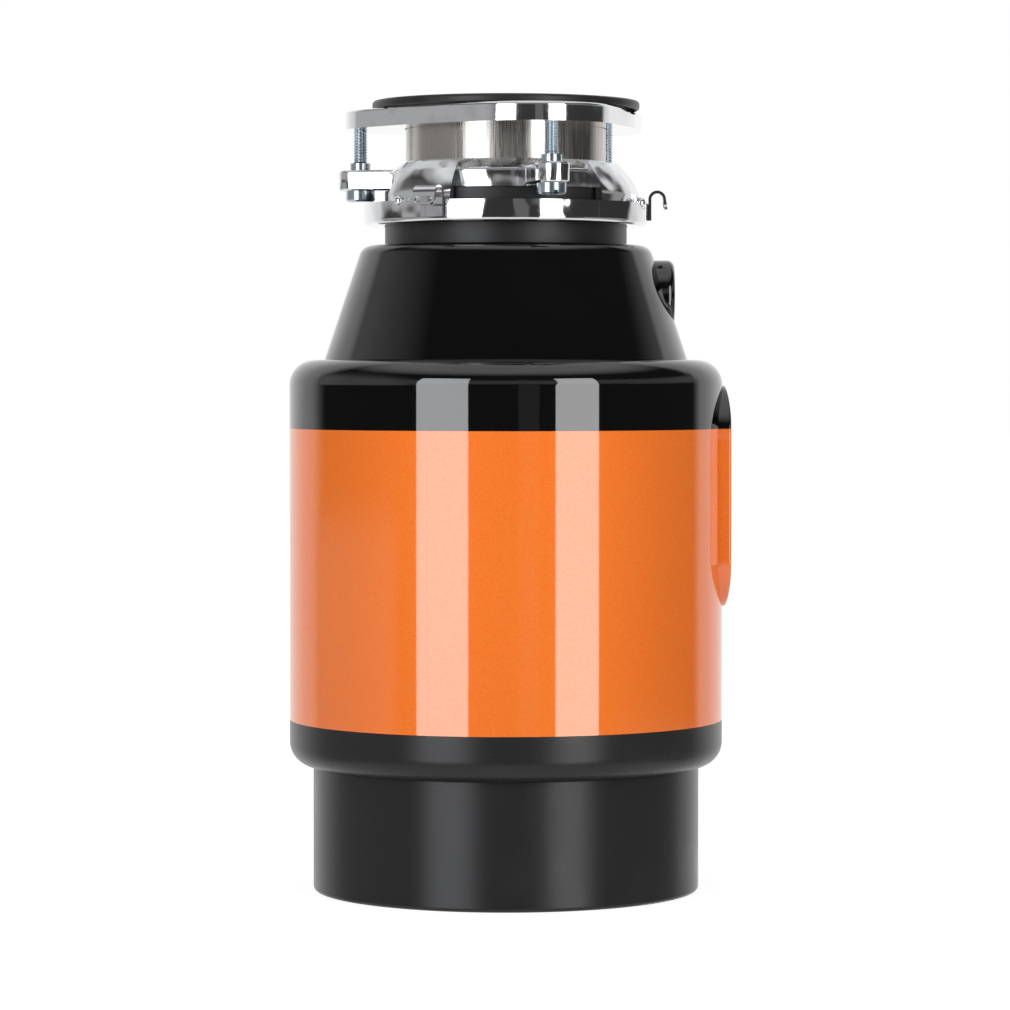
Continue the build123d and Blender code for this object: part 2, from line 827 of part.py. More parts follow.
with BuildPart() as body_sleeve:
    with BuildSketch(Plane.XY.offset(sleeve_bottom)):
        Circle(body_radius)
    extrude(amount=sleeve_height)
    with BuildSketch(Plane.YZ):
        with Locations((0, outlet_height)):
            SlotOverall(pad_height, pad_width, rotation=90)
        with Locations((0, sleeve_top)):
            Rectangle(pad_width, pad_height, align=(Align.CENTER, Align.MIN), mode=Mode.SUBTRACT)
    extrude(amount=pad_face)
    with BuildSketch(Plane.XZ):
        pad_end(-1)
    extrude(amount=pad_width, both=True, mode=Mode.SUBTRACT)
    fillet(pad_rim(edges()), pad_fillet)
    with BuildSketch(Plane.XY.offset(sleeve_bottom)):
        Circle(sleeve_inner)
    extrude(amount=sleeve_height, mode=Mode.SUBTRACT)
    with BuildSketch(Plane.YZ):
        with Locations((0, outlet_height)):
            SlotOverall(pad_hollow_height, pad_hollow_width, rotation=90)
    extrude(amount=pad_inner_face, mode=Mode.SUBTRACT)
    with BuildSketch(Plane.YZ):
        with Locations((0, outlet_height)):
            Circle(outlet_radius + slide_clearance)
        with Locations((0, outlet_height - outlet_bolt_spacing / 2)):
            Circle(outlet_bolt_hole)
    extrude(amount=pad_face, mode=Mode.SUBTRACT)

with BuildPart() as bottom_tray:
    with BuildSketch(Plane.XZ) as tray_section:
        with BuildLine():
            Polyline(
                (tray_hole_radius, base_height),
                (body_radius, base_height),
                (body_radius, sleeve_bottom),
                (body_radius - shell_wall, sleeve_bottom),
                (body_radius - shell_wall, tray_floor_top),
                (tray_hole_radius, tray_floor_top),
                close=True,
            )
        make_face()
        fillet(corner(tray_section, body_radius, base_height), tray_fillet)
        fillet(corner(tray_section, body_radius - shell_wall, tray_floor_top), tray_fillet - shell_wall)
    revolve(axis=Axis.Z)
    with BuildSketch(Plane.XY.offset(sleeve_bottom - spigot_height / 2)):
        annulus(spigot_outer - spigot_wall, spigot_outer)
    extrude(amount=spigot_height * 3 / 2)
    with BuildSketch(Plane.XY.offset(base_height)):
        with PolarLocations(post_circle, post_count, start_angle=post_angle):
            Circle(base_screw_radius + slide_clearance)
    extrude(amount=tray_floor, mode=Mode.SUBTRACT)

reset_place = polar(reset_circle, reset_angle)
hatch_place = polar(hatch_circle, hatch_angle)
cable_place = polar(cable_circle, cable_angle)
hatch_screw_offset = hatch_length / 2 - hatch_rim / 2
hatch_rebate = hatch_thickness + seat_clearance

with BuildPart() as base_cover:
    with BuildSketch():
        Circle(base_radius)
    extrude(amount=base_height)
    fillet(edges().group_by(Axis.Z)[0], base_fillet)
    with BuildSketch():
        Circle(base_inner)
    extrude(amount=base_height, mode=Mode.SUBTRACT)
    with BuildSketch(Plane.XY.offset(base_floor)):
        annulus(base_inner - base_ledge_width, base_inner)
    extrude(amount=base_ledge_height)

with BuildPart() as base_plate:
    with BuildSketch():
        Circle(base_inner - seat_clearance)
    extrude(amount=base_floor)
    with BuildSketch(Plane.XY.offset(base_floor)):
        with PolarLocations(post_circle, post_count, start_angle=post_angle):
            Circle(post_radius)
    extrude(amount=base_height - base_floor)
    with BuildSketch():
        Circle(jam_hole_radius)
        with Locations(reset_place):
            Circle(button_radius + slide_clearance)
        with Locations(cable_place):
            Circle(cable_radius + cable_bush_wall + seat_clearance)
        with Locations(hatch_place):
            Rectangle(hatch_length - 2 * hatch_rim, hatch_width - 2 * hatch_rim)
            with Locations((hatch_screw_offset, 0), (-hatch_screw_offset, 0)):
                Circle(hatch_screw_radius + seat_clearance)
    extrude(amount=base_floor, mode=Mode.SUBTRACT)
    with BuildSketch():
        with Locations(hatch_place):
            RectangleRounded(hatch_length + slide_clearance, hatch_width + slide_clearance, hatch_rim / 2)
    extrude(amount=hatch_rebate, mode=Mode.SUBTRACT)
    with BuildSketch():
        with PolarLocations(post_circle, post_count, start_angle=post_angle):
            Circle(base_screw_radius + slide_clearance)
    extrude(amount=base_height, mode=Mode.SUBTRACT)
    with BuildSketch():
        with PolarLocations(post_circle, post_count, start_angle=post_angle):
            Circle(base_screw_head_radius + slide_clearance)
    extrude(amount=base_screw_recess + base_screw_head_height, mode=Mode.SUBTRACT)

with BuildPart() as base_screws:
    with BuildSketch(Plane.XY.offset(base_screw_recess)):
        with PolarLocations(post_circle, post_count, start_angle=post_angle):
            Circle(base_screw_head_radius)
            Rectangle(base_screw_cross, base_screw_radius / 2, mode=Mode.SUBTRACT)
            Rectangle(base_screw_radius / 2, base_screw_cross, mode=Mode.SUBTRACT)
    extrude(amount=base_screw_head_height / 2)
    with BuildSketch(Plane.XY.offset(base_screw_recess + base_screw_head_height / 2)):
        with PolarLocations(post_circle, post_count, start_angle=post_angle):
            Circle(base_screw_head_radius)
    extrude(amount=base_screw_head_height / 2)
    with BuildSketch(Plane.XY.offset(base_screw_recess + base_screw_head_height)):
        with PolarLocations(post_circle, post_count, start_angle=post_angle):
            Circle(base_screw_radius)
    extrude(amount=tray_floor_top + base_screw_grip - base_screw_recess - base_screw_head_height)

with BuildPart() as chamber_foam:
    with BuildSketch(Plane.XY.offset(chamber_bottom + chamber_flange + bolt_head_height + foam_clearance)):
        annulus(chamber_radius + chamber_wall + foam_clearance, frame_radius)
    foam_top = shoulder_top - shoulder_fillet
    extrude(amount=foam_top - chamber_bottom - chamber_flange - bolt_head_height - foam_clearance)

with BuildPart() as motor_foam:
    with BuildSketch(Plane.XY.offset(lower_frame_top)):
        annulus(can_outer + foam_clearance, frame_radius)
        with PolarLocations(bolt_circle, bolt_count, start_angle=bolt_angle):
            Circle(bolt_radius + foam_clearance, mode=Mode.SUBTRACT)
    extrude(amount=upper_frame_bottom - lower_frame_top)

# Grinding end

with BuildPart() as grind_chamber:
    with BuildSketch(Plane.XY.offset(chamber_bottom)):
        annulus(chamber_radius, frame_radius)
        with PolarLocations(bolt_circle, bolt_count, start_angle=bolt_angle):
            Circle(bolt_radius + slide_clearance, mode=Mode.SUBTRACT)
    extrude(amount=chamber_flange)
    with BuildSketch(Plane.XY.offset(chamber_bottom)):
        annulus(chamber_radius, chamber_radius + chamber_wall)
    extrude(amount=chamber_straight)

with BuildPart() as hopper_cone:
    with BuildSketch(Plane.XZ):
        with BuildLine():
            Polyline(
                (chamber_radius, chamber_straight_top),
                (chamber_radius + chamber_wall, chamber_straight_top),
                (neck_radius, chamber_cone_top),
                (throat_radius, chamber_cone_top),
                close=True,
            )
        make_face()
    revolve(axis=Axis.Z)
    with BuildSketch(Plane.YZ):
        with Locations((0, inlet_height)):
            Circle(inlet_outer + seat_clearance)
    extrude(amount=inlet_face, mode=Mode.SUBTRACT)

with BuildPart() as hopper_neck:
    with BuildSketch(Plane.XY.offset(chamber_cone_top)):
        annulus(throat_radius, neck_radius)
    extrude(amount=neck_top - chamber_cone_top)
    with BuildSketch(Plane.XY.offset(neck_top - neck_bead_height)):
        annulus(throat_radius, neck_bead_radius)
    extrude(amount=neck_bead_height)

inlet_groove_bottom = inlet_face - inlet_depth - inlet_groove_width

with BuildPart() as inlet_nipple:
    with BuildSketch(Plane.YZ):
        with Locations((0, inlet_height)):
            Circle(inlet_outer)
    extrude(amount=inlet_face)
    with BuildSketch(Plane.XZ):
        with BuildLine():
            Polyline(
                (0, chamber_straight_top),
                (chamber_radius, chamber_straight_top),
                (throat_radius, chamber_cone_top),
                (0, chamber_cone_top),
                close=True,
            )
        make_face()
    revolve(axis=Axis.Z, mode=Mode.SUBTRACT)
    with BuildSketch(Plane.YZ):
        with Locations((0, inlet_height)):
            Circle(inlet_channel_radius)
    extrude(amount=inlet_face, mode=Mode.SUBTRACT)
    with BuildSketch(Plane.YZ.offset(inlet_groove_bottom)):
        with Locations((0, inlet_height)):
            Circle(inlet_radius)
    extrude(amount=inlet_depth + inlet_groove_width, mode=Mode.SUBTRACT)
    with BuildSketch(Plane.YZ.offset(inlet_groove_bottom)):
        with Locations((0, inlet_height)):
            Circle(inlet_radius + inlet_groove_depth)
    extrude(amount=inlet_groove_width, mode=Mode.SUBTRACT)

with BuildPart() as inlet_plug:
    with BuildSketch(Plane.YZ.offset(inlet_groove_bottom - free_clearance - inlet_plug_thickness)):
        with Locations((0, inlet_height)):
            Circle(inlet_channel_radius - seat_clearance)
    extrude(amount=inlet_plug_thickness)

with BuildPart() as grind_ring:
    with BuildSketch(Plane.XY.offset(chamber_bottom)):
        annulus(grind_ring_inner, grind_ring_outer)
    extrude(amount=grind_ring_height)
    with BuildSketch(Plane.XY.offset(chamber_bottom)):
        with PolarLocations(grind_ring_inner, grind_notch_count):
            Rectangle(2 * grind_notch_depth, grind_notch_width)
    extrude(amount=grind_notch_height, mode=Mode.SUBTRACT)

hub_bottom = table_top - turntable_hub_height

with BuildPart() as turntable:
    with BuildSketch(Plane.XY.offset(table_bottom)):
        Circle(turntable_radius)
        with PolarLocations(turntable_hole_circle, turntable_hole_count):
            Circle(turntable_hole_radius, mode=Mode.SUBTRACT)
    extrude(amount=turntable_thickness)
    with BuildSketch(Plane.XY.offset(hub_bottom)):
        Circle(turntable_hub_radius)
    extrude(amount=turntable_hub_height)
    vane_length = turntable_hole_circle - turntable_vane_inset - turntable_hub_radius
    vane_circle = turntable_hub_radius + vane_length / 2 - turntable_vane_width
    with BuildSketch(Plane.XY.offset(table_bottom - turntable_vane_height)):
        with PolarLocations(vane_circle, turntable_vane_count):
            Rectangle(vane_length, turntable_vane_width)
    extrude(amount=turntable_vane_height)
    with BuildSketch(Plane.XY.offset(hub_bottom)):
        Circle(shaft_top_radius + seat_clearance)
        with PolarLocations(lug_circle, 2, start_angle=bolt_angle):
            Circle(lug_pin_radius + seat_clearance)
    extrude(amount=turntable_hub_height, mode=Mode.SUBTRACT)

lug_bottom = table_top + slide_clearance
lug_top = lug_bottom + lug_height
lug_angles = {"a": bolt_angle, "b": bolt_angle + 180.0}
swivel_lugs = {}
for side, angle in lug_angles.items():
    with BuildPart() as swivel_lug:
        pin_place = polar(lug_circle, angle)
        nose_place = polar(lug_circle + lug_length - lug_nose_radius, angle)
        with BuildSketch(Plane.XY.offset(lug_bottom)):
            with Locations(pin_place):
                Circle(lug_hub_radius)
            with Locations(nose_place):
                Circle(lug_nose_radius)
            make_hull()
        extrude(amount=lug_height)
        with BuildSketch(Plane.XY.offset(lug_top)):
            with Locations(nose_place):
                Circle(lug_nose_radius)
        extrude(amount=lug_step_height)
        with BuildSketch(Plane.XY.offset(lug_bottom)):
            with Locations(pin_place):
                Circle(lug_pin_radius + running_clearance)
        extrude(amount=lug_height, mode=Mode.SUBTRACT)
    swivel_lugs[side] = swivel_lug

with BuildPart() as lug_pins:
    with BuildSketch(Plane.XY.offset(table_bottom)):
        with PolarLocations(lug_circle, 2, start_angle=bolt_angle):
            Circle(lug_pin_radius)
    extrude(amount=lug_top + slide_clearance - table_bottom)
    with BuildSketch(Plane.XY.offset(lug_top + slide_clearance)):
        with PolarLocations(lug_circle, 2, start_angle=bolt_angle):
            Circle(lug_pin_head_radius)
    extrude(amount=lug_pin_head_height)

with BuildPart() as table_nut:
    with BuildSketch(Plane.XY.offset(table_top)):
        RegularPolygon(table_nut_radius, 6)
        Circle(shaft_top_radius + seat_clearance, mode=Mode.SUBTRACT)
    extrude(amount=table_nut_height)

drain_flange_bottom = chamber_bottom - chamber_flange

with BuildPart() as drain_chamber:
    with BuildSketch(Plane.XY.offset(drain_bottom)):
        Circle(drain_radius + drain_wall)
    extrude(amount=drain_height)
    with BuildSketch(Plane.XY.offset(drain_flange_bottom)):
        Circle(frame_radius)
        with PolarLocations(bolt_circle, bolt_count, start_angle=bolt_angle):
            Circle(bolt_radius + slide_clearance, mode=Mode.SUBTRACT)
    extrude(amount=chamber_flange)
    with BuildSketch(Plane.XY.offset(drain_bottom + drain_floor)):
        annulus(drain_hub_radius, drain_radius)
    extrude(amount=drain_height - drain_floor, mode=Mode.SUBTRACT)
    with BuildSketch(Plane.XY.offset(drain_bottom + drain_hub_height)):
        Circle(drain_radius)
    extrude(amount=drain_height - drain_hub_height, mode=Mode.SUBTRACT)
    with BuildSketch(Plane.YZ.offset(drain_hub_radius)):
        with Locations((0, outlet_height)):
            Circle(outlet_radius + slide_clearance)
    extrude(amount=drain_radius + drain_wall - drain_hub_radius, mode=Mode.SUBTRACT)
    with BuildSketch(Plane.XY.offset(drain_bottom)):
        Circle(shaft_radius + free_clearance)
    extrude(amount=drain_hub_height, mode=Mode.SUBTRACT)
    with BuildSketch(Plane.XY.offset(drain_bottom + drain_hub_height - seal_height)):
        Circle(seal_radius + seat_clearance)
    extrude(amount=seal_height, mode=Mode.SUBTRACT)

with BuildPart() as outlet_stub:
    with BuildSketch(Plane.YZ):
        with Locations((0, outlet_height)):
            Circle(outlet_radius + outlet_wall)
    extrude(amount=outlet_flange_face)
    with BuildSketch(Plane.XY.offset(drain_bottom)):
        Circle(drain_radius + drain_wall + seat_clearance)
    extrude(amount=drain_height, mode=Mode.SUBTRACT)
    with BuildSketch(Plane.XY.offset(drain_flange_bottom - seat_clearance)):
        Circle(frame_radius + seat_clearance)
    extrude(amount=outlet_radius + outlet_wall, mode=Mode.SUBTRACT)
    with BuildSketch(Plane.YZ.offset(outlet_flange_back)):
        with Locations((0, outlet_height)):
            SlotOverall(
                pad_hollow_height - 2 * free_clearance,
                pad_hollow_width - 2 * free_clearance,
                rotation=90,
            )
    extrude(amount=outlet_flange_thickness)
    with BuildSketch(Plane.YZ):
        with Locations((0, outlet_height)):
            Circle(outlet_radius)
        with Locations(*outlet_bolt_places):
            Circle(outlet_bolt_hole)
    extrude(amount=outlet_flange_face, mode=Mode.SUBTRACT)

with BuildPart() as outlet_gasket:
    with BuildSketch(Plane.YZ.offset(outlet_flange_face)):
        with Locations((0, outlet_height)):
            SlotOverall(
                pad_hollow_height - 2 * free_clearance,
                pad_hollow_width - 2 * free_clearance,
                rotation=90,
            )
            Circle(outlet_radius + slide_clearance, mode=Mode.SUBTRACT)
        with Locations(*outlet_bolt_places):
            Circle(outlet_bolt_hole, mode=Mode.SUBTRACT)
    extrude(amount=outlet_gasket_thickness)

with BuildPart() as shaft_seal:
    with BuildSketch(Plane.XY.offset(drain_bottom + drain_hub_height - seal_height)):
        annulus(shaft_radius + running_clearance, seal_radius)
    extrude(amount=seal_height)

# Motor

with BuildPart() as upper_end_frame:
    with BuildSketch(Plane.XY.offset(upper_frame_bottom)):
        Circle(frame_radius)
        with PolarLocations(bolt_circle, bolt_count, start_angle=bolt_angle):
            Circle(bolt_radius + slide_clearance, mode=Mode.SUBTRACT)
    extrude(amount=end_frame_thickness)
    with BuildSketch(Plane.XY.offset(upper_bearing_bottom)):
        Circle(frame_hub_radius)
    extrude(amount=upper_hub_drop)
    with BuildSketch(Plane.XY.offset(upper_bearing_bottom)):
        Circle(bearing_radius + seat_clearance)
    extrude(amount=upper_hub_drop + end_frame_thickness, mode=Mode.SUBTRACT)

with BuildPart() as upper_bearing:
    with BuildSketch(Plane.XY.offset(upper_bearing_bottom)):
        annulus(shaft_radius + running_clearance, bearing_radius)
    extrude(amount=bearing_height)

lower_frame_fillet = min(tray_fillet - sleeve_wall, lower_frame_thickness - sleeve_wall / 2)

with BuildPart() as lower_end_frame:
    with BuildSketch(Plane.XY.offset(tray_floor_top)):
        Circle(frame_radius)
    extrude(amount=lower_frame_thickness)
    fillet(edges().group_by(Axis.Z)[0], lower_frame_fillet)
    with BuildSketch(Plane.XY.offset(tray_floor_top - lower_hub_drop)):
        Circle(frame_hub_radius)
    extrude(amount=lower_hub_drop + lower_frame_thickness + lower_hub_rise)
    with BuildSketch(Plane.XY.offset(tray_floor_top - lower_hub_drop)):
        Circle(bearing_radius + seat_clearance)
    extrude(amount=lower_hub_drop + lower_frame_thickness + lower_hub_rise, mode=Mode.SUBTRACT)
    with BuildSketch(Plane.XY.offset(tray_floor_top)):
        with PolarLocations(bolt_circle, bolt_count, start_angle=bolt_angle):
            Circle(bolt_radius + seat_clearance)
    extrude(amount=lower_frame_thickness, mode=Mode.SUBTRACT)
    with BuildSketch(Plane.XY.offset(tray_floor_top)):
        with PolarLocations(post_circle, post_count, start_angle=post_angle):
            Circle(base_screw_radius + seat_clearance)
    extrude(amount=base_screw_grip, mode=Mode.SUBTRACT)

with BuildPart() as lower_bearing:
    with BuildSketch(Plane.XY.offset(lower_bearing_bottom)):
        annulus(shaft_radius + running_clearance, bearing_radius)
    extrude(amount=bearing_height)

with BuildPart() as motor_can:
    with BuildSketch(Plane.XY.offset(lower_frame_top)):
        annulus(can_inner, can_outer)
    extrude(amount=upper_frame_bottom - lower_frame_top)

with BuildPart() as through_bolts:
    with BuildSketch(Plane.XY.offset(lower_frame_top - lower_frame_thickness / 2)):
        with PolarLocations(bolt_circle, bolt_count, start_angle=bolt_angle):
            Circle(bolt_radius)
    extrude(amount=chamber_bottom + chamber_flange - lower_frame_top + lower_frame_thickness / 2)
    with BuildSketch(Plane.XY.offset(chamber_bottom + chamber_flange)):
        with PolarLocations(bolt_circle, bolt_count, start_angle=bolt_angle):
            RegularPolygon(bolt_head_radius, 6)
    extrude(amount=bolt_head_height)

with BuildPart() as stator_core:
    with BuildSketch(Plane.XY.offset(stack_bottom)):
        annulus(stator_inner, can_inner - seat_clearance)
        with PolarLocations(stator_inner + slot_lip + slot_depth / 2, slot_count):
            Rectangle(slot_depth, slot_width, mode=Mode.SUBTRACT)
        with PolarLocations(stator_inner + slot_lip / 2, slot_count):
            Rectangle(2 * slot_lip, slot_mouth, mode=Mode.SUBTRACT)
    extrude(amount=stack_height)

with BuildPart() as upper_winding:
    with BuildSketch(Plane.XY.offset(stack_top)):
        annulus(winding_inner, winding_outer)
    extrude(amount=winding_height)
    fillet(faces().sort_by(Axis.Z)[-1].edges(), winding_fillet)

with BuildPart() as lower_winding:
    with BuildSketch(Plane.XY.offset(stack_bottom - winding_height)):
        annulus(winding_inner, winding_outer)
    extrude(amount=winding_height)
    fillet(faces().sort_by(Axis.Z)[0].edges(), winding_fillet)

with BuildPart() as rotor_core:
    with BuildSketch(Plane.XY.offset(stack_bottom)):
        annulus(shaft_radius + seat_clearance, rotor_radius)
    extrude(amount=stack_height)
    with BuildSketch(Plane.XY.offset(stack_bottom - end_ring_height)):
        annulus(end_ring_inner, end_ring_outer)
    extrude(amount=stack_height + 2 * end_ring_height)

with BuildPart() as thrust_spacer:
    with BuildSketch(Plane.XY.offset(lower_bearing_top + slide_clearance)):
        annulus(shaft_radius + seat_clearance, shaft_radius + spacer_wall)
    extrude(amount=stack_bottom - lower_bearing_top - slide_clearance)

shaft_bottom = lower_bearing_bottom - jam_socket_radius / 2
tail_bottom = jam_socket_bottom + jam_hex_depth + slide_clearance

with BuildPart() as rotor_shaft:
    with BuildSketch(Plane.XY.offset(shaft_bottom)):
        Circle(shaft_radius)
    extrude(amount=hub_bottom - shaft_bottom)
    with BuildSketch(Plane.XY.offset(hub_bottom)):
        Circle(shaft_top_radius)
    extrude(amount=table_top + table_nut_height - hub_bottom)
    with BuildSketch(Plane.XY.offset(tail_bottom)):
        Circle(shaft_tail_radius)
    extrude(amount=shaft_bottom - tail_bottom)

with BuildPart() as jam_socket:
    with BuildSketch(Plane.XY.offset(jam_socket_bottom)):
        Circle(jam_socket_radius)
    extrude(amount=jam_socket_top - jam_socket_bottom)
    with BuildSketch(Plane.XY.offset(jam_socket_bottom)):
        RegularPolygon(jam_hex_flats / 2, 6, major_radius=False)
    extrude(amount=jam_hex_depth, mode=Mode.SUBTRACT)
    with BuildSketch(Plane.XY.offset(tail_bottom)):
        Circle(shaft_tail_radius + seat_clearance)
    extrude(amount=jam_socket_top - tail_bottom, mode=Mode.SUBTRACT)

# Electrics in the base

capacitor_place = polar(capacitor_circle, capacitor_angle)

with BuildPart() as start_capacitor:
    with BuildSketch(Plane.XY.offset(base_floor)):
        with Locations(capacitor_place):
            Circle(capacitor_radius)
    extrude(amount=capacitor_height)
    fillet(edges().group_by(Axis.Z)[-1], capacitor_fillet)

with BuildPart() as capacitor_clamp:
    with BuildSketch(Plane.XY.offset(base_floor + clamp_rise)):
        with Locations(capacitor_place):
            annulus(capacitor_radius + seat_clearance, capacitor_radius + clamp_wall)
    extrude(amount=clamp_height)
    leg_place = (capacitor_place[0] + capacitor_radius + clamp_wall * 3 / 2, capacitor_place[1])
    with BuildSketch(Plane.XY.offset(base_floor)):
        with Locations(leg_place):
            Rectangle(clamp_wall * 2, clamp_leg_width)
        with Locations(capacitor_place):
            Circle(capacitor_radius + seat_clearance, mode=Mode.SUBTRACT)
    extrude(amount=clamp_rise + clamp_height)

button_top = button_recess + button_height
collar_travel = button_collar_height + button_travel + 2 * slide_clearance

with BuildPart() as overload_protector:
    with BuildSketch(Plane.XY.offset(base_floor)):
        with Locations(reset_place):
            RectangleRounded(protector_length, protector_width, clamp_wall)
    extrude(amount=protector_height)
    with BuildSketch(Plane.XY.offset(base_floor)):
        with Locations(reset_place):
            Circle(button_collar_radius + slide_clearance)
    extrude(amount=collar_travel, mode=Mode.SUBTRACT)
    with BuildSketch(Plane.XY.offset(base_floor)):
        with Locations(reset_place):
            Circle(button_radius + slide_clearance)
    extrude(amount=button_top + button_travel + slide_clearance - base_floor, mode=Mode.SUBTRACT)

with BuildPart() as reset_button:
    with BuildSketch(Plane.XY.offset(button_recess)):
        with Locations(reset_place):
            Circle(button_radius)
    extrude(amount=button_height)
    fillet(edges().group_by(Axis.Z)[0], button_radius / 6)
    with BuildSketch(Plane.XY.offset(base_floor + slide_clearance)):
        with Locations(reset_place):
            Circle(button_collar_radius)
    extrude(amount=button_collar_height)

with BuildPart() as terminal_block:
    terminal_place = polar(terminal_circle, terminal_angle)
    with BuildSketch(Plane.XY.offset(base_floor)):
        with Locations(terminal_place):
            Rectangle(terminal_length, terminal_width)
            with GridLocations(terminal_pitch, 1, terminal_count, 1):
                Circle(terminal_hole_radius, mode=Mode.SUBTRACT)
    extrude(amount=terminal_height)

with BuildPart() as wiring_hatch:
    with BuildSketch(Plane.XY.offset(hatch_rebate - hatch_thickness)):
        with Locations(hatch_place):
            RectangleRounded(hatch_length, hatch_width, hatch_rim / 2)
            with Locations((hatch_screw_offset, 0), (-hatch_screw_offset, 0)):
                Circle(hatch_screw_radius + seat_clearance, mode=Mode.SUBTRACT)
    extrude(amount=hatch_thickness)
    with BuildSketch(Plane.XY.offset(hatch_rebate - hatch_thickness)):
        with Locations(hatch_place):
            with Locations((hatch_screw_offset, 0), (-hatch_screw_offset, 0)):
                Circle(hatch_screw_head + seat_clearance)
    extrude(amount=hatch_thickness / 2, mode=Mode.SUBTRACT)

with BuildPart() as hatch_screws:
    with BuildSketch(Plane.XY.offset(hatch_rebate - hatch_thickness)):
        with Locations(hatch_place):
            with Locations((hatch_screw_offset, 0), (-hatch_screw_offset, 0)):
                Circle(hatch_screw_head)
    extrude(amount=hatch_thickness / 2)
    with BuildSketch(Plane.XY.offset(hatch_rebate - hatch_thickness / 2)):
        with Locations(hatch_place):
            with Locations((hatch_screw_offset, 0), (-hatch_screw_offset, 0)):
                Circle(hatch_screw_radius)
    extrude(amount=base_floor)

with BuildPart() as cable_bush:
    bush_radius = cable_radius + cable_bush_wall
    with BuildSketch(Plane.XY.offset(cable_bush_recess)):
        with Locations(cable_place):
            annulus(cable_radius, bush_radius)
    extrude(amount=cable_bush_height)
    with BuildSketch(Plane.XY.offset(base_floor)):
        with Locations(cable_place):
            annulus(cable_radius, bush_radius + cable_bush_flange)
    extrude(amount=cable_bush_flange_height)

pieces = {
    "sink_flange": sink_flange,
    "sink_gasket": sink_gasket,
    "backup_flange": backup_flange,
    "clamp_screws": clamp_screws,
    "screw_collars": screw_collars,
    "snap_ring": snap_ring,
    "mounting_ring": mounting_ring,
    "lock_ring": lock_ring,
    "lock_ears": lock_ears,
    "mounting_collar": mounting_collar,
    "splash_guard": splash_guard,
    "top_cover": top_cover,
    "cover_band": cover_band,
    "body_sleeve": body_sleeve,
    "bottom_tray": bottom_tray,
    "base_cover": base_cover,
    "base_plate": base_plate,
    "base_screws": base_screws,
    "chamber_foam": chamber_foam,
    "motor_foam": motor_foam,
    "grind_chamber": grind_chamber,
    "hopper_cone": hopper_cone,
    "hopper_neck": hopper_neck,
    "inlet_nipple": inlet_nipple,
    "inlet_plug": inlet_plug,
    "grind_ring": grind_ring,
    "turntable": turntable,
    "swivel_lug_a": swivel_lugs["a"],
    "swivel_lug_b": swivel_lugs["b"],
    "lug_pins": lug_pins,
    "table_nut": table_nut,
    "drain_chamber": drain_chamber,
    "outlet_stub": outlet_stub,
    "outlet_gasket": outlet_gasket,
    "shaft_seal": shaft_seal,
    "upper_end_frame": upper_end_frame,
    "upper_bearing": upper_bearing,
    "lower_end_frame": lower_end_frame,
    "lower_bearing": lower_bearing,
    "motor_can": motor_can,
    "through_bolts": through_bolts,
    "stator_core": stator_core,
    "upper_winding": upper_winding,
    "lower_winding": lower_winding,
    "rotor_core": rotor_core,
    "thrust_spacer": thrust_spacer,
    "rotor_shaft": rotor_shaft,
    "jam_socket": jam_socket,
    "start_capacitor": start_capacitor,
    "capacitor_clamp": capacitor_clamp,
    "overload_protector": overload_protector,
    "reset_button": reset_button,
    "terminal_block": terminal_block,
    "wiring_hatch": wiring_hatch,
    "hatch_screws": hatch_screws,
    "cable_bush": cable_bush,
}

for name, piece in pieces.items():
    piece.part.label = name
    export_step(piece.part, f"parts/{name}.step")
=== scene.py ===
"""Studio scene of an under-sink food waste disposer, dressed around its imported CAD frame."""

import json
import logging
import math
from abc import ABC, abstractmethod
from dataclasses import dataclass, field
from enum import Enum
from typing import Dict, Iterable, List, Optional, Sequence, Tuple, Union

import bmesh
import bpy
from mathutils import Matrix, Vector


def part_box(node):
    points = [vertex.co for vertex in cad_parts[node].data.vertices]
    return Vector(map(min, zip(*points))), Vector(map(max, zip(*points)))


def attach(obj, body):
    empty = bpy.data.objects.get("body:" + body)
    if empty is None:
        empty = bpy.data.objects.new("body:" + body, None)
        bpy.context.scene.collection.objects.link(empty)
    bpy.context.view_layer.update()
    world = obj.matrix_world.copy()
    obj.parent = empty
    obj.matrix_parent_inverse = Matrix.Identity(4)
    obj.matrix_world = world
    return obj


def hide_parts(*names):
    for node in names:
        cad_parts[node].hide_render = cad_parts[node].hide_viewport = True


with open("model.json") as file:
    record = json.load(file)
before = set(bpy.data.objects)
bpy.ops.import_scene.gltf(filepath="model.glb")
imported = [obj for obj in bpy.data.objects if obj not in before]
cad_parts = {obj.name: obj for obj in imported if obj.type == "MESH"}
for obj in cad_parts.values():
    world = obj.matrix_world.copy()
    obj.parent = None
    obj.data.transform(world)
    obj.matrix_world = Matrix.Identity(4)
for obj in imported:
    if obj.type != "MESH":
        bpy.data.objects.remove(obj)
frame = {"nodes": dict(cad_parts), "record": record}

log = logging.getLogger("disposer")

Colour = Tuple[float, float, float]
Point = Tuple[float, float, float]
MM = 0.001
FULL_TURN = 2.0 * math.pi


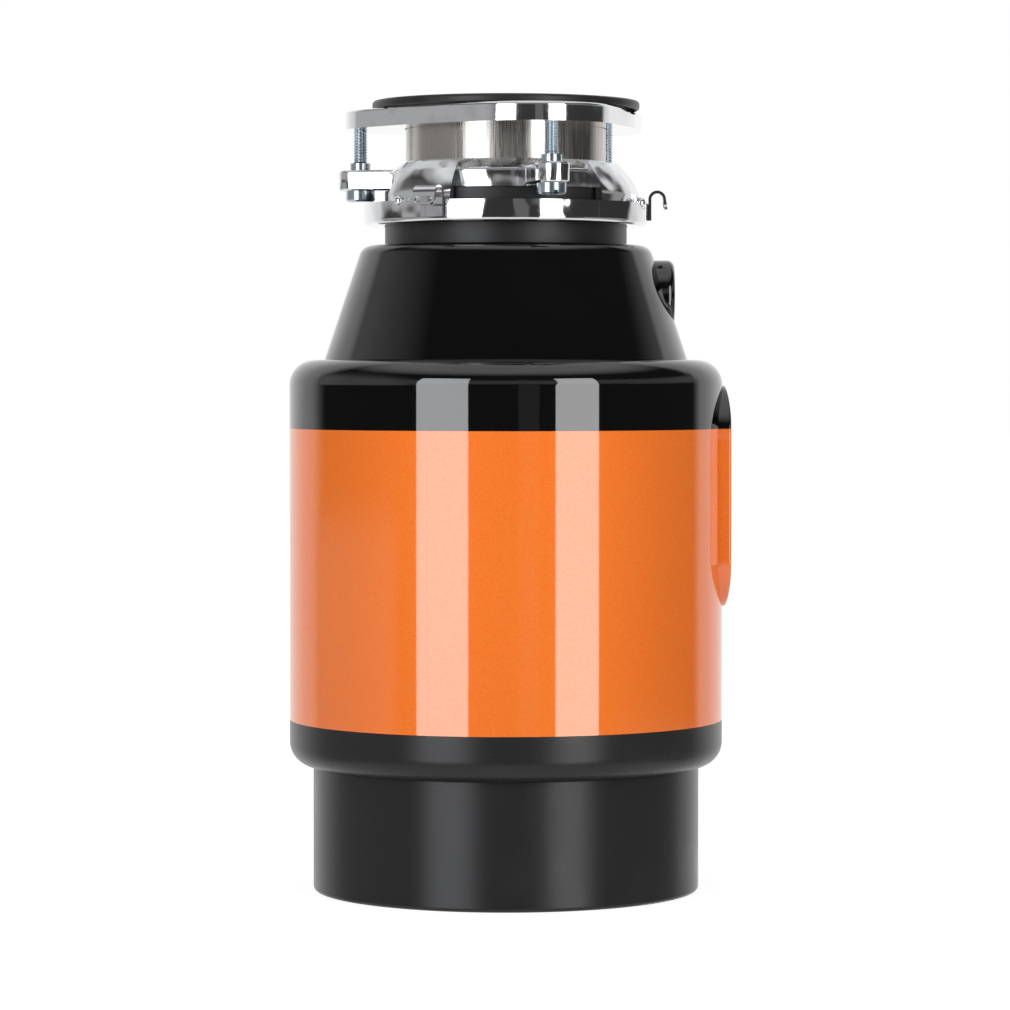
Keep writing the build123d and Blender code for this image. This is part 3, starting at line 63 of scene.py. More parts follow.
class Sock:
    """A shader output whose Python arithmetic adds Math nodes."""

    def __init__(self, graph: "Graph", socket: bpy.types.NodeSocket) -> None:
        """Keeps the graph and the socket it wraps."""
        self.graph = graph
        self.socket = socket

    def _math(self, operation: str, *terms: "Term") -> "Sock":
        """Adds one Math node.

        Args:
            operation: The Math node's operation.
            terms: Its operands in order.

        Returns:
            The node's result.
        """
        return self.graph.node("ShaderNodeMath", {"operation": operation}, dict(enumerate(terms)))

    def __add__(self, other: "Term") -> "Sock":
        """Sum."""
        return self._math("ADD", self, other)

    def __radd__(self, other: "Term") -> "Sock":
        """Sum with a plain number first."""
        return self._math("ADD", other, self)

    def __sub__(self, other: "Term") -> "Sock":
        """Difference."""
        return self._math("SUBTRACT", self, other)

    def __rsub__(self, other: "Term") -> "Sock":
        """Difference from a plain number."""
        return self._math("SUBTRACT", other, self)

    def __mul__(self, other: "Term") -> "Sock":
        """Product."""
        return self._math("MULTIPLY", self, other)

    def __rmul__(self, other: "Term") -> "Sock":
        """Product with a plain number first."""
        return self._math("MULTIPLY", other, self)

    def __pow__(self, other: "Term") -> "Sock":
        """Power."""
        return self._math("POWER", self, other)

    def greater(self, other: "Term") -> "Sock":
        """The larger of two values."""
        return self._math("MAXIMUM", self, other)

    def hypot(self, other: "Sock") -> "Sock":
        """Length of the two values taken as the legs of a right angle."""
        return (self * self + other * other) ** 0.5

    def wave(self) -> "Sock":
        """Sine of the value, moved into 0 to 1."""
        return self._math("SINE", self) * 0.5 + 0.5

    def spread(self, low: float, high: float, start: float = 0.0, end: float = 1.0) -> "Sock":
        """Maps low..high smoothly onto start..end and holds it outside.

        Args:
            low: Value that gives start.
            high: Value that gives end.
            start: Result at low.
            end: Result at high.

        Returns:
            The mapped value.
        """
        return self.graph.node(
            "ShaderNodeMapRange",
            {"interpolation_type": "SMOOTHSTEP"},
            {"Value": self, "From Min": low, "From Max": high, "To Min": start, "To Max": end},
        )


Term = Union[float, Sock]


class Graph:
    """A shader tree under construction, for a material or for the world."""

    def __init__(self, tree: bpy.types.NodeTree) -> None:
        """Empties the tree and keeps it."""
        tree.nodes.clear()
        self.tree = tree

    def node(
        self,
        kind: str,
        settings: Optional[Dict[str, object]] = None,
        values: Optional[Dict[Union[str, int], object]] = None,
        output: Union[str, int] = 0,
    ) -> Sock:
        """Adds any node.

        Args:
            kind: The node's type.
            settings: Its settings, set before its sockets.
            values: Values or links of its input sockets, by name or index.
            output: The output to hand back.

        Returns:
            The chosen output.
        """
        made = self.tree.nodes.new(kind)
        for key, value in (settings or {}).items():
            setattr(made, key, value)
        for key, value in (values or {}).items():
            socket = made.inputs[key]
            if isinstance(value, Sock):
                self.tree.links.new(value.socket, socket)
            else:
                socket.default_value = value
        return Sock(self, made.outputs[output]) if made.outputs else Sock(self, None)

    def place(self) -> Sock:
        """The surface point in the object's own metres."""
        return self.node("ShaderNodeTexCoord", output="Object")

    def axes(self) -> Tuple[Sock, Sock, Sock]:
        """The x, y and z of the surface point."""
        parts = self.node("ShaderNodeSeparateXYZ", values={0: self.place()}).socket.node.outputs
        return Sock(self, parts[0]), Sock(self, parts[1]), Sock(self, parts[2])

    def stretched(self, scale: Point) -> Sock:
        """The surface point scaled along each axis."""
        return self.node("ShaderNodeMapping", values={"Vector": self.place(), "Scale": scale})

    def noise(self, scale: float, detail: float = 3.0, vector: Optional[Sock] = None) -> Sock:
        """Fractal noise from 0 to 1.

        Args:
            scale: Features in one metre.
            detail: Octaves.
            vector: Point to read, the surface point by default.

        Returns:
            The noise value.
        """
        return self.node(
            "ShaderNodeTexNoise",
            values={"Vector": vector or self.place(), "Scale": scale, "Detail": detail},
        )

    def cells(self, scale: float) -> Tuple[Sock, Sock]:
        """Distance to the nearest cell centre and that cell's random colour."""
        made = self.node("ShaderNodeTexVoronoi", values={"Vector": self.place(), "Scale": scale})
        return made, Sock(self, made.socket.node.outputs["Color"])

    def mix(self, factor: Term, first: object, second: object) -> Sock:
        """A colour between two colours."""
        return self.node(
            "ShaderNodeMix", {"data_type": "RGBA"}, {0: factor, 6: rgba(first), 7: rgba(second)}, 2
        )

    def bump(self, height: Sock, depth: float, strength: float = 1.0) -> Sock:
        """A normal raised by a height of 0 to 1 over a depth in metres."""
        return self.node(
            "ShaderNodeBump", values={"Height": height, "Distance": depth, "Strength": strength}
        )


def rgba(colour: object) -> object:
    """Adds the opaque fourth part to a plain colour and passes a socket on."""
    return colour if isinstance(colour, Sock) else (*colour, 1.0)


LACQUER_IOR = 1.85
MADE: Dict[str, bpy.types.Material] = {}


class Grain(Enum):
    """How the fine lines of a worked metal face run."""

    RING = "round the axis"
    AXIAL = "along the axis"
    FACE = "in circles on a turned face"


@dataclass(frozen=True)
class Finish(ABC):
    """A named surface finish that can make its material.

    Plural fields count features in one metre, and depths are in metres.
    """

    name: str

    def material(self) -> bpy.types.Material:
        """The finish as a material, made once."""
        if self.name in MADE:
            return MADE[self.name]
        made = bpy.data.materials.new(self.name)
        MADE[self.name] = made
        made.use_nodes = True
        graph = Graph(made.node_tree)
        shader = graph.node("ShaderNodeBsdfPrincipled", values=self.sockets(graph))
        graph.node("ShaderNodeOutputMaterial", values={"Surface": shader})
        return made

    @abstractmethod
    def sockets(self, graph: Graph) -> Dict[str, object]:
        """The values and links of the shader's sockets."""


@dataclass(frozen=True)
class GlossMoulding(Finish):
    """Polished, lacquered moulding with faint smears and a little dust."""

    colour: Colour
    roughness: float = 0.05
    coat_roughness: float = 0.03
    smears: float = 26.0
    specks: float = 2100.0

    def sockets(self, graph: Graph) -> Dict[str, object]:
        """Deep colour under near mirror gloss."""
        smear = graph.noise(self.smears, 4.0).spread(0.45, 0.75)
        speck = graph.noise(self.specks, 1.0).spread(0.74, 0.80)
        lighter = tuple(part * 1.6 + 0.001 for part in self.colour)
        return {
            "Base Color": graph.mix(smear * 0.4 + speck * 0.6, self.colour, lighter),
            "Roughness": smear * 0.03 + speck * 0.06 + self.roughness,
            "Specular IOR Level": 0.0,
            "Coat Weight": 1.0 - smear * 0.12,
            "Coat Roughness": self.coat_roughness,
            "Coat IOR": LACQUER_IOR,
        }


@dataclass(frozen=True)
class FlakePaint(Finish):
    """Metallic lacquer: bright flakes in a coloured base under clear coat."""

    deep: Colour
    bright: Colour
    flakes: float = 2600.0
    flake_lift: float = 0.06 * MM
    clouds: float = 900.0
    drifts: float = 14.0
    roughness: float = 0.42
    coat_roughness: float = 0.05

    def sockets(self, graph: Graph) -> Dict[str, object]:
        """Flake sparkle in colour, metal and slope, under a smooth coat."""
        distance, tint = graph.cells(self.flakes)
        spark = graph.node("ShaderNodeSeparateColor", values={0: tint})
        cloud = graph.noise(self.clouds, 3.0)
        drift = graph.noise(self.drifts, 2.0)
        body = graph.mix(spark * 0.55 + cloud * 0.35 + drift * 0.1, self.deep, self.bright)
        return {
            "Base Color": body,
            "Metallic": spark.spread(0.35, 0.95) * 0.4 + 0.1,
            "Roughness": spark * 0.14 + cloud * 0.1 + self.roughness,
            "Normal": graph.bump(distance * spark, self.flake_lift, 0.35),
            "Specular IOR Level": 0.0,
            "Coat Weight": 1.0,
            "Coat Roughness": self.coat_roughness,
            "Coat IOR": LACQUER_IOR,
        }


@dataclass(frozen=True)
class SatinMoulding(Finish):
    """Moulding with a fine even grain."""

    colour: Colour
    roughness: float = 0.4
    grain: float = 2400.0
    depth: float = 0.03 * MM
    sheen: float = 0.5
    rubs: float = 38.0

    def sockets(self, graph: Graph) -> Dict[str, object]:
        """Even colour with grain, slight rub marks and a soft sheen."""
        grain = graph.noise(self.grain, 2.0)
        rub = graph.noise(self.rubs, 5.0).spread(0.5, 0.78)
        lighter = tuple(part * 1.5 + 0.002 for part in self.colour)
        return {
            "Base Color": graph.mix(rub * 0.6 + grain * 0.25, self.colour, lighter),
            "Roughness": grain * 0.08 - rub * 0.07 + self.roughness,
            "Specular IOR Level": self.sheen,
            "Normal": graph.bump(grain, self.depth, 0.6),
        }


@dataclass(frozen=True)
class PlatedMetal(Finish):
    """Bright plating with faint haze and ripples left by the pressing below."""

    colour: Colour
    roughness: float = 0.07
    ripple: float = 0.06 * MM
    ripples: float = 70.0
    hazes: float = 120.0
    scratches: float = 700.0

    def sockets(self, graph: Graph) -> Dict[str, object]:
        """Mirror metal whose haze and ripple vary."""
        haze = graph.noise(self.hazes, 4.0).spread(0.4, 0.8)
        upright = graph.stretched((1.0, 1.0, 0.05))
        scratch = graph.noise(self.scratches, 2.0, upright).spread(0.66, 0.8)
        dull = tuple(part * 0.8 for part in self.colour)
        return {
            "Base Color": graph.mix(haze * 0.4, self.colour, dull),
            "Metallic": 1.0,
            "Roughness": haze * 0.08 + scratch * 0.1 + self.roughness,
            "Normal": graph.bump(graph.noise(self.ripples, 1.0), self.ripple),
        }


@dataclass(frozen=True)
class WorkedMetal(Finish):
    """Metal with fine lines from brushing or turning."""

    colour: Colour
    roughness: float = 0.28
    grain: Grain = Grain.RING
    lines: float = 2600.0
    depth: float = 0.02 * MM
    haze: float = 0.2
    stains: float = 45.0
    stretch: float = 0.02

    def sockets(self, graph: Graph) -> Dict[str, object]:
        """Lines in tone, gloss and slope, following the grain."""
        if self.grain is Grain.RING:
            vector = graph.stretched((self.stretch, self.stretch, 1.0))
        elif self.grain is Grain.AXIAL:
            vector = graph.stretched((1.0, 1.0, self.stretch))
        else:
            across, along, _ = graph.axes()
            vector = graph.node("ShaderNodeCombineXYZ", values={0: across.hypot(along)})
        lines = graph.noise(self.lines, 3.0, vector)
        stain = graph.noise(self.stains, 4.0).spread(0.45, 0.8)
        dark = tuple(part * 0.62 for part in self.colour)
        return {
            "Base Color": graph.mix(lines * 0.45 + stain * 0.3, self.colour, dark),
            "Metallic": 1.0,
            "Roughness": lines.spread(0.4, 0.6) * self.haze + stain * 0.06 + self.roughness - 0.1,
            "Normal": graph.bump(lines, self.depth, 0.5),
        }


@dataclass(frozen=True)
class RubberMoulding(Finish):
    """Matte rubber with bloom and a fine skin."""

    colour: Colour
    roughness: float = 0.62
    blooms: float = 70.0
    grain: float = 1900.0
    depth: float = 0.05 * MM

    def sockets(self, graph: Graph) -> Dict[str, object]:
        """Dull black, paler where bloom gathers."""
        bloom = graph.noise(self.blooms, 5.0).spread(0.45, 0.8)
        skin = graph.noise(self.grain, 3.0)
        pale = tuple(part * 1.9 + 0.008 for part in self.colour)
        return {
            "Base Color": graph.mix(bloom * 0.7 + skin * 0.2, self.colour, pale),
            "Roughness": skin * 0.14 + bloom * 0.08 + self.roughness,
            "Normal": graph.bump(skin, self.depth, 0.7),
        }


@dataclass(frozen=True)
class CastMetal(Finish):
    """Die casting or sintered metal with a pebbled skin."""

    colour: Colour
    roughness: float = 0.45
    pebble: float = 1300.0
    depth: float = 0.1 * MM

    def sockets(self, graph: Graph) -> Dict[str, object]:
        """Pebbled grey with darker pores."""
        skin = graph.noise(self.pebble, 4.0)
        pores, _ = graph.cells(self.pebble * 0.5)
        pit = 1.0 - pores.spread(0.05, 0.3)
        dark = tuple(part * 0.55 for part in self.colour)
        return {
            "Base Color": graph.mix(pit * 0.5 + skin * 0.4, self.colour, dark),
            "Metallic": 1.0,
            "Roughness": skin * 0.2 + self.roughness - 0.06,
            "Normal": graph.bump(skin - pit * 0.4, self.depth, 0.6),
        }


@dataclass(frozen=True)
class StackedSheet(Finish):
    """Pile of thin electrical sheets seen on edge."""

    colour: Colour
    sheet: float = 0.5 * MM
    depth: float = 0.12 * MM
    varnishes: float = 160.0

    def sockets(self, graph: Graph) -> Dict[str, object]:
        """Thin level bands with varnish between them."""
        _, _, height = graph.axes()
        band = (height * (FULL_TURN / self.sheet)).wave()
        varnish = graph.noise(self.varnishes, 3.0)
        dark = tuple(part * 0.35 for part in self.colour)
        return {
            "Base Color": graph.mix(band * 0.6 + varnish * 0.3, dark, self.colour),
            "Metallic": band * 0.5 + 0.35,
            "Roughness": varnish * 0.25 + 0.35,
            "Normal": graph.bump(band, self.depth, 0.6),
        }


@dataclass(frozen=True)
class WoundWire(Finish):
    """Enamelled wire laid in rounds."""

    colour: Colour
    wire: float = 0.9 * MM
    depth: float = 0.3 * MM
    stains: float = 300.0

    def sockets(self, graph: Graph) -> Dict[str, object]:
        """Rounds of wire with glossy enamel, with painted shade darkening the gaps between the rounds."""
        across, along, height = graph.axes()
        layer = (height * (FULL_TURN / self.wire)).wave()
        turn = (across.hypot(along) * (FULL_TURN / self.wire)).wave()
        wire_profile_and_gap_shade = (layer * turn) ** 0.5
        # Painted shade: each round darkens towards the gaps between wires, down to a quarter of its colour,
        # following the same profile as the bump.
        dark = tuple(part * 0.25 for part in self.colour)
        return {
            "Base Color": graph.mix(wire_profile_and_gap_shade, dark, self.colour),
            "Metallic": 0.8,
            "Roughness": graph.noise(self.stains) * 0.2 + 0.25,
            "Normal": graph.bump(wire_profile_and_gap_shade, self.depth, 0.8),
        }


@dataclass(frozen=True)
class CellFoam(Finish):
    """Open foam."""

    colour: Colour
    holes: float = 420.0
    depth: float = 0.8 * MM

    def sockets(self, graph: Graph) -> Dict[str, object]:
        """Painted shade darkens each cell towards its middle, the hole, in a dull matrix."""
        distance, _ = graph.cells(self.holes)
        wall_and_hole_shade = distance.spread(0.2, 0.6)
        pale = tuple(part * 1.7 for part in self.colour)
        return {
            # Painted shade: the hole in each cell keeps the plain dark colour while the raised walls are
            # made paler.
            "Base Color": graph.mix(wall_and_hole_shade, self.colour, pale),
            "Roughness": wall_and_hole_shade * 0.1 + 0.85,
            "Normal": graph.bump(wall_and_hole_shade, self.depth, 0.8),
        }


STEEL: Colour = (0.60, 0.565, 0.53)
ZINC: Colour = (0.60, 0.68, 0.74)
CHROME: Colour = (0.83, 0.835, 0.85)
BLACK: Colour = (0.0018, 0.0018, 0.002)
WHITE: Colour = (1.0, 1.0, 1.0)

SLOT_FINISHES: Dict[str, Finish] = {
    "chrome": PlatedMetal("bright_chrome", CHROME),
    "zinc_steel": PlatedMetal("zinc_plate", ZINC, 0.22, 0.04 * MM),
    "stainless": WorkedMetal("brushed_stainless", STEEL, 0.3),
    "black_rubber": RubberMoulding("moulded_rubber", (0.010, 0.010, 0.0105), 0.33),
    "gloss_black": GlossMoulding("lacquered_black", BLACK),
    "orange_metallic": FlakePaint("orange_flake", (0.97, 0.135, 0.017), (1.0, 0.30, 0.040)),
    "satin_black": SatinMoulding(
        "fine_satin_black", (0.017, 0.017, 0.0175), roughness=0.25, depth=0.003 * MM, sheen=0.32
    ),
    "foam": CellFoam("grey_foam", (0.09, 0.09, 0.1)),
    "black_plastic": SatinMoulding("grained_black", (0.02, 0.02, 0.02), 0.5),
    "cast_aluminium": CastMetal("die_cast_skin", (0.62, 0.63, 0.64)),
    "bronze": CastMetal("sintered_bronze", (0.62, 0.42, 0.2), 0.38),
    "machined_steel": WorkedMetal("turned_steel", (0.52, 0.53, 0.55), 0.3),
    "laminated_steel": StackedSheet("sheet_stack", (0.34, 0.34, 0.37)),
    "copper": WoundWire("enamelled_wire", (0.66, 0.27, 0.11)),
    "capacitor_shell": GlossMoulding("capacitor_skin", (0.03, 0.03, 0.035), 0.2),
    "pale_plastic": SatinMoulding("pale_moulding", (0.72, 0.69, 0.63), 0.45),
    "red_plastic": GlossMoulding("red_button", (0.5, 0.015, 0.012), 0.16),
}

NODE_FINISHES: Dict[str, Finish] = {
    "sink_flange": WorkedMetal(
        "drawn_flange", STEEL, 0.27, Grain.AXIAL, lines=1500.0, depth=0.003 * MM, haze=0.12
    ),
    "mounting_ring": PlatedMetal("rippled_chrome", CHROME, 0.11, 1.6 * MM),
    "lock_ring": PlatedMetal("rolled_chrome", CHROME, 0.05, 0.7 * MM),
    "turntable": WorkedMetal("turned_table", STEEL, 0.3, Grain.FACE, 1500.0),
    "grind_chamber": WorkedMetal("drawn_chamber", (0.62, 0.61, 0.6), 0.32, Grain.AXIAL, 1200.0),
    "splash_guard": RubberMoulding("guard_rubber", (0.018, 0.018, 0.019), 0.55),
}

MERGE_REACH = 0.001 * MM
SMOOTH_ANGLE = math.radians(32.0)
NORMAL_WEIGHT = 75


def slot_of(node: str) -> str:
    """The record's material slot of a CAD node."""
    return next(row["material_slot"] for row in frame["record"]["subparts"] if row["node"] == node)


def finish_of(node: str) -> Finish:
    """The finish of a CAD node, its own or its slot's."""
    return NODE_FINISHES.get(node) or SLOT_FINISHES[slot_of(node)]


def body_of(node: str) -> str:
    """The CAD body that carries a node."""
    bodies = frame["record"]["behaviour"]["bodies"]
    return next(body for body, members in bodies.items() if node in members)


def smooth_by_angle(mesh: bpy.types.Mesh, angle: float = SMOOTH_ANGLE) -> None:
    """Shades a mesh smooth with sharp edges where faces meet at more than an angle.

    Args:
        mesh: The mesh, changed in place.
        angle: Largest angle between faces that still look like one surface, in radians.
    """
    work = bmesh.new()
    work.from_mesh(mesh)
    for face in work.faces:
        face.smooth = True
    for edge in work.edges:
        edge.smooth = len(edge.link_faces) == 2 and edge.calc_face_angle(0.0) < angle
    work.to_mesh(mesh)
    work.free()


def weigh_normals(mesh: bpy.types.Mesh) -> bpy.types.Mesh:
    """Leans each corner's normal towards its larger faces, so that long walls shade flat.

    Args:
        mesh: A mesh with its sharp edges marked.

    Returns:
        A new mesh of the same name that keeps those normals.
    """
    carrier = bpy.data.objects.new("normal_carrier", mesh)
    bpy.context.scene.collection.objects.link(carrier)
    modifier = carrier.modifiers.new("weighted", "WEIGHTED_NORMAL")
    modifier.mode = "FACE_AREA_WITH_ANGLE"
    modifier.weight = NORMAL_WEIGHT
    modifier.keep_sharp = True
    bpy.context.view_layer.update()
    evaluated = carrier.evaluated_get(bpy.context.evaluated_depsgraph_get())
    made = bpy.data.meshes.new_from_object(evaluated)
    name = mesh.name
    carrier.modifiers.remove(modifier)
    bpy.data.objects.remove(carrier)
    bpy.data.meshes.remove(mesh)
    made.name = name
    return made


def add_piece(
    name: str, mesh: bpy.types.Mesh, body: str, nodes: Sequence[str] = ()
) -> bpy.types.Object:
    """Adds a finished mesh as a piece of the object.

    Args:
        name: The piece's name.
        mesh: Its mesh, in place in the shared frame.
        body: The CAD body that carries it.
        nodes: CAD nodes that it stands for.

    Returns:
        The new object.
    """
    piece = bpy.data.objects.new(name, mesh)
    bpy.context.scene.collection.objects.link(piece)
    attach(piece, body)
    if nodes:
        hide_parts(*nodes)
    log.info("piece %s: %d faces on %s", name, len(mesh.polygons), body)
    return piece


class SubAssembly(ABC):
    """A group of pieces that is built, then dressed."""

    nodes: Sequence[str] = ()
    smoothed: Sequence[str] = ()

    def build(self) -> None:
        """Makes the smooth stand-ins of the group's curved nodes."""
        for node in self.smoothed:
            self.smooth_copy(node)

    def dress(self) -> None:
        """Gives every CAD node of the group its finish."""
        for node in self.nodes:
            slots = frame["nodes"][node].data.materials
            slots.clear()
            slots.append(finish_of(node).material())
            log.info("node %s: %s", node, finish_of(node).name)

    @staticmethod
    def smooth_copy(node: str) -> bpy.types.Object:
        """Puts a merged, smooth shaded copy in a CAD node's place.

        Args:
            node: The CAD node.

        Returns:
            The copy.
        """
        mesh = frame["nodes"][node].data.copy()
        mesh.name = f"{node}_skin"
        work = bmesh.new()
        work.from_mesh(mesh)
        bmesh.ops.remove_doubles(work, verts=work.verts, dist=MERGE_REACH)
        work.to_mesh(mesh)
        work.free()
        smooth_by_angle(mesh)
        mesh = weigh_normals(mesh)
        mesh.materials.clear()
        mesh.materials.append(finish_of(node).material())
        return add_piece(f"{node}_skin", mesh, body_of(node), [node])


@dataclass
class GeometryTree:
    """A Geometry Nodes tree under construction, with named inputs."""

    name: str
    sizes: Dict[str, float]
    tree: bpy.types.NodeTree = field(init=False)
    inputs: bpy.types.Node = field(init=False)
    identifiers: Dict[str, str] = field(init=False, default_factory=dict)

    def __post_init__(self) -> None:
        """Makes the tree, its interface and its group input."""
        self.tree = bpy.data.node_groups.new(self.name, "GeometryNodeTree")
        interface = self.tree.interface
        interface.new_socket("Geometry", in_out="INPUT", socket_type="NodeSocketGeometry")
        interface.new_socket("Geometry", in_out="OUTPUT", socket_type="NodeSocketGeometry")
        for label in self.sizes:
            made = interface.new_socket(label, in_out="INPUT", socket_type="NodeSocketFloat")
            self.identifiers[label] = made.identifier
        self.inputs = self.tree.nodes.new("NodeGroupInput")

    def size(self, label: str) -> bpy.types.NodeSocket:
        """The socket of a named input."""
        return self.inputs.outputs[label]

    def node(
        self,
        kind: str,
        values: Optional[Dict[Union[str, int], object]] = None,
        settings: Optional[Dict[str, object]] = None,
    ) -> bpy.types.Node:
        """Adds any node.

        Args:
            kind: The node's type.
            values: Values or linked sockets of its inputs, by name or index.
            settings: Its settings, set before its sockets.

        Returns:
            The node.
        """
        made = self.tree.nodes.new(kind)
        for key, value in (settings or {}).items():
            setattr(made, key, value)
        for key, value in (values or {}).items():
            if isinstance(value, bpy.types.NodeSocket):
                self.tree.links.new(value, made.inputs[key])
            else:
                made.inputs[key].default_value = value
        return made

    def math(self, operation: str, *terms: object) -> bpy.types.NodeSocket:
        """Adds a Math node and returns its result."""
        return self.node("ShaderNodeMath", dict(enumerate(terms)), {"operation": operation}).outputs[0]

    def vector(self, across: object, along: object, up: object) -> bpy.types.NodeSocket:
        """Puts three values together as a vector."""
        return self.node("ShaderNodeCombineXYZ", {0: across, 1: along, 2: up}).outputs[0]

    def lift(self, part: bpy.types.NodeSocket, height: object) -> bpy.types.NodeSocket:
        """Raises a geometry to a height."""
        values = {"Geometry": part, "Translation": self.vector(0.0, 0.0, height)}
        return self.node("GeometryNodeTransform", values).outputs[0]

    def join(self, *parts: bpy.types.NodeSocket) -> bpy.types.NodeSocket:
        """Joins several geometries into one."""
        made = self.node("GeometryNodeJoinGeometry")
        for part in parts:
            self.tree.links.new(part, made.inputs[0])
        return made.outputs[0]

    def finish(self, geometry: bpy.types.NodeSocket, material: bpy.types.Material) -> bpy.types.Mesh:
        """Ends the tree, runs it once and hands back the plain mesh.

        Args:
            geometry: What the tree made.
            material: The material that it gets.

        Returns:
            The realised mesh.
        """
        real = self.node("GeometryNodeRealizeInstances", {"Geometry": geometry}).outputs[0]
        dressed = self.node("GeometryNodeSetMaterial", {"Geometry": real, "Material": material})
        end = self.tree.nodes.new("NodeGroupOutput")
        self.tree.links.new(dressed.outputs[0], end.inputs[0])
        carrier = bpy.data.objects.new(f"{self.name}_carrier", bpy.data.meshes.new(f"{self.name}_seed"))
        bpy.context.scene.collection.objects.link(carrier)
        modifier = carrier.modifiers.new(self.name, "NODES")
        modifier.node_group = self.tree
        for label, value in self.sizes.items():
            modifier[self.identifiers[label]] = value
        bpy.context.view_layer.update()
        evaluated = carrier.evaluated_get(bpy.context.evaluated_depsgraph_get())
        mesh = bpy.data.meshes.new_from_object(evaluated)
        mesh.name = self.name
        carrier.modifiers.remove(modifier)
        bpy.data.objects.remove(carrier)
        return mesh


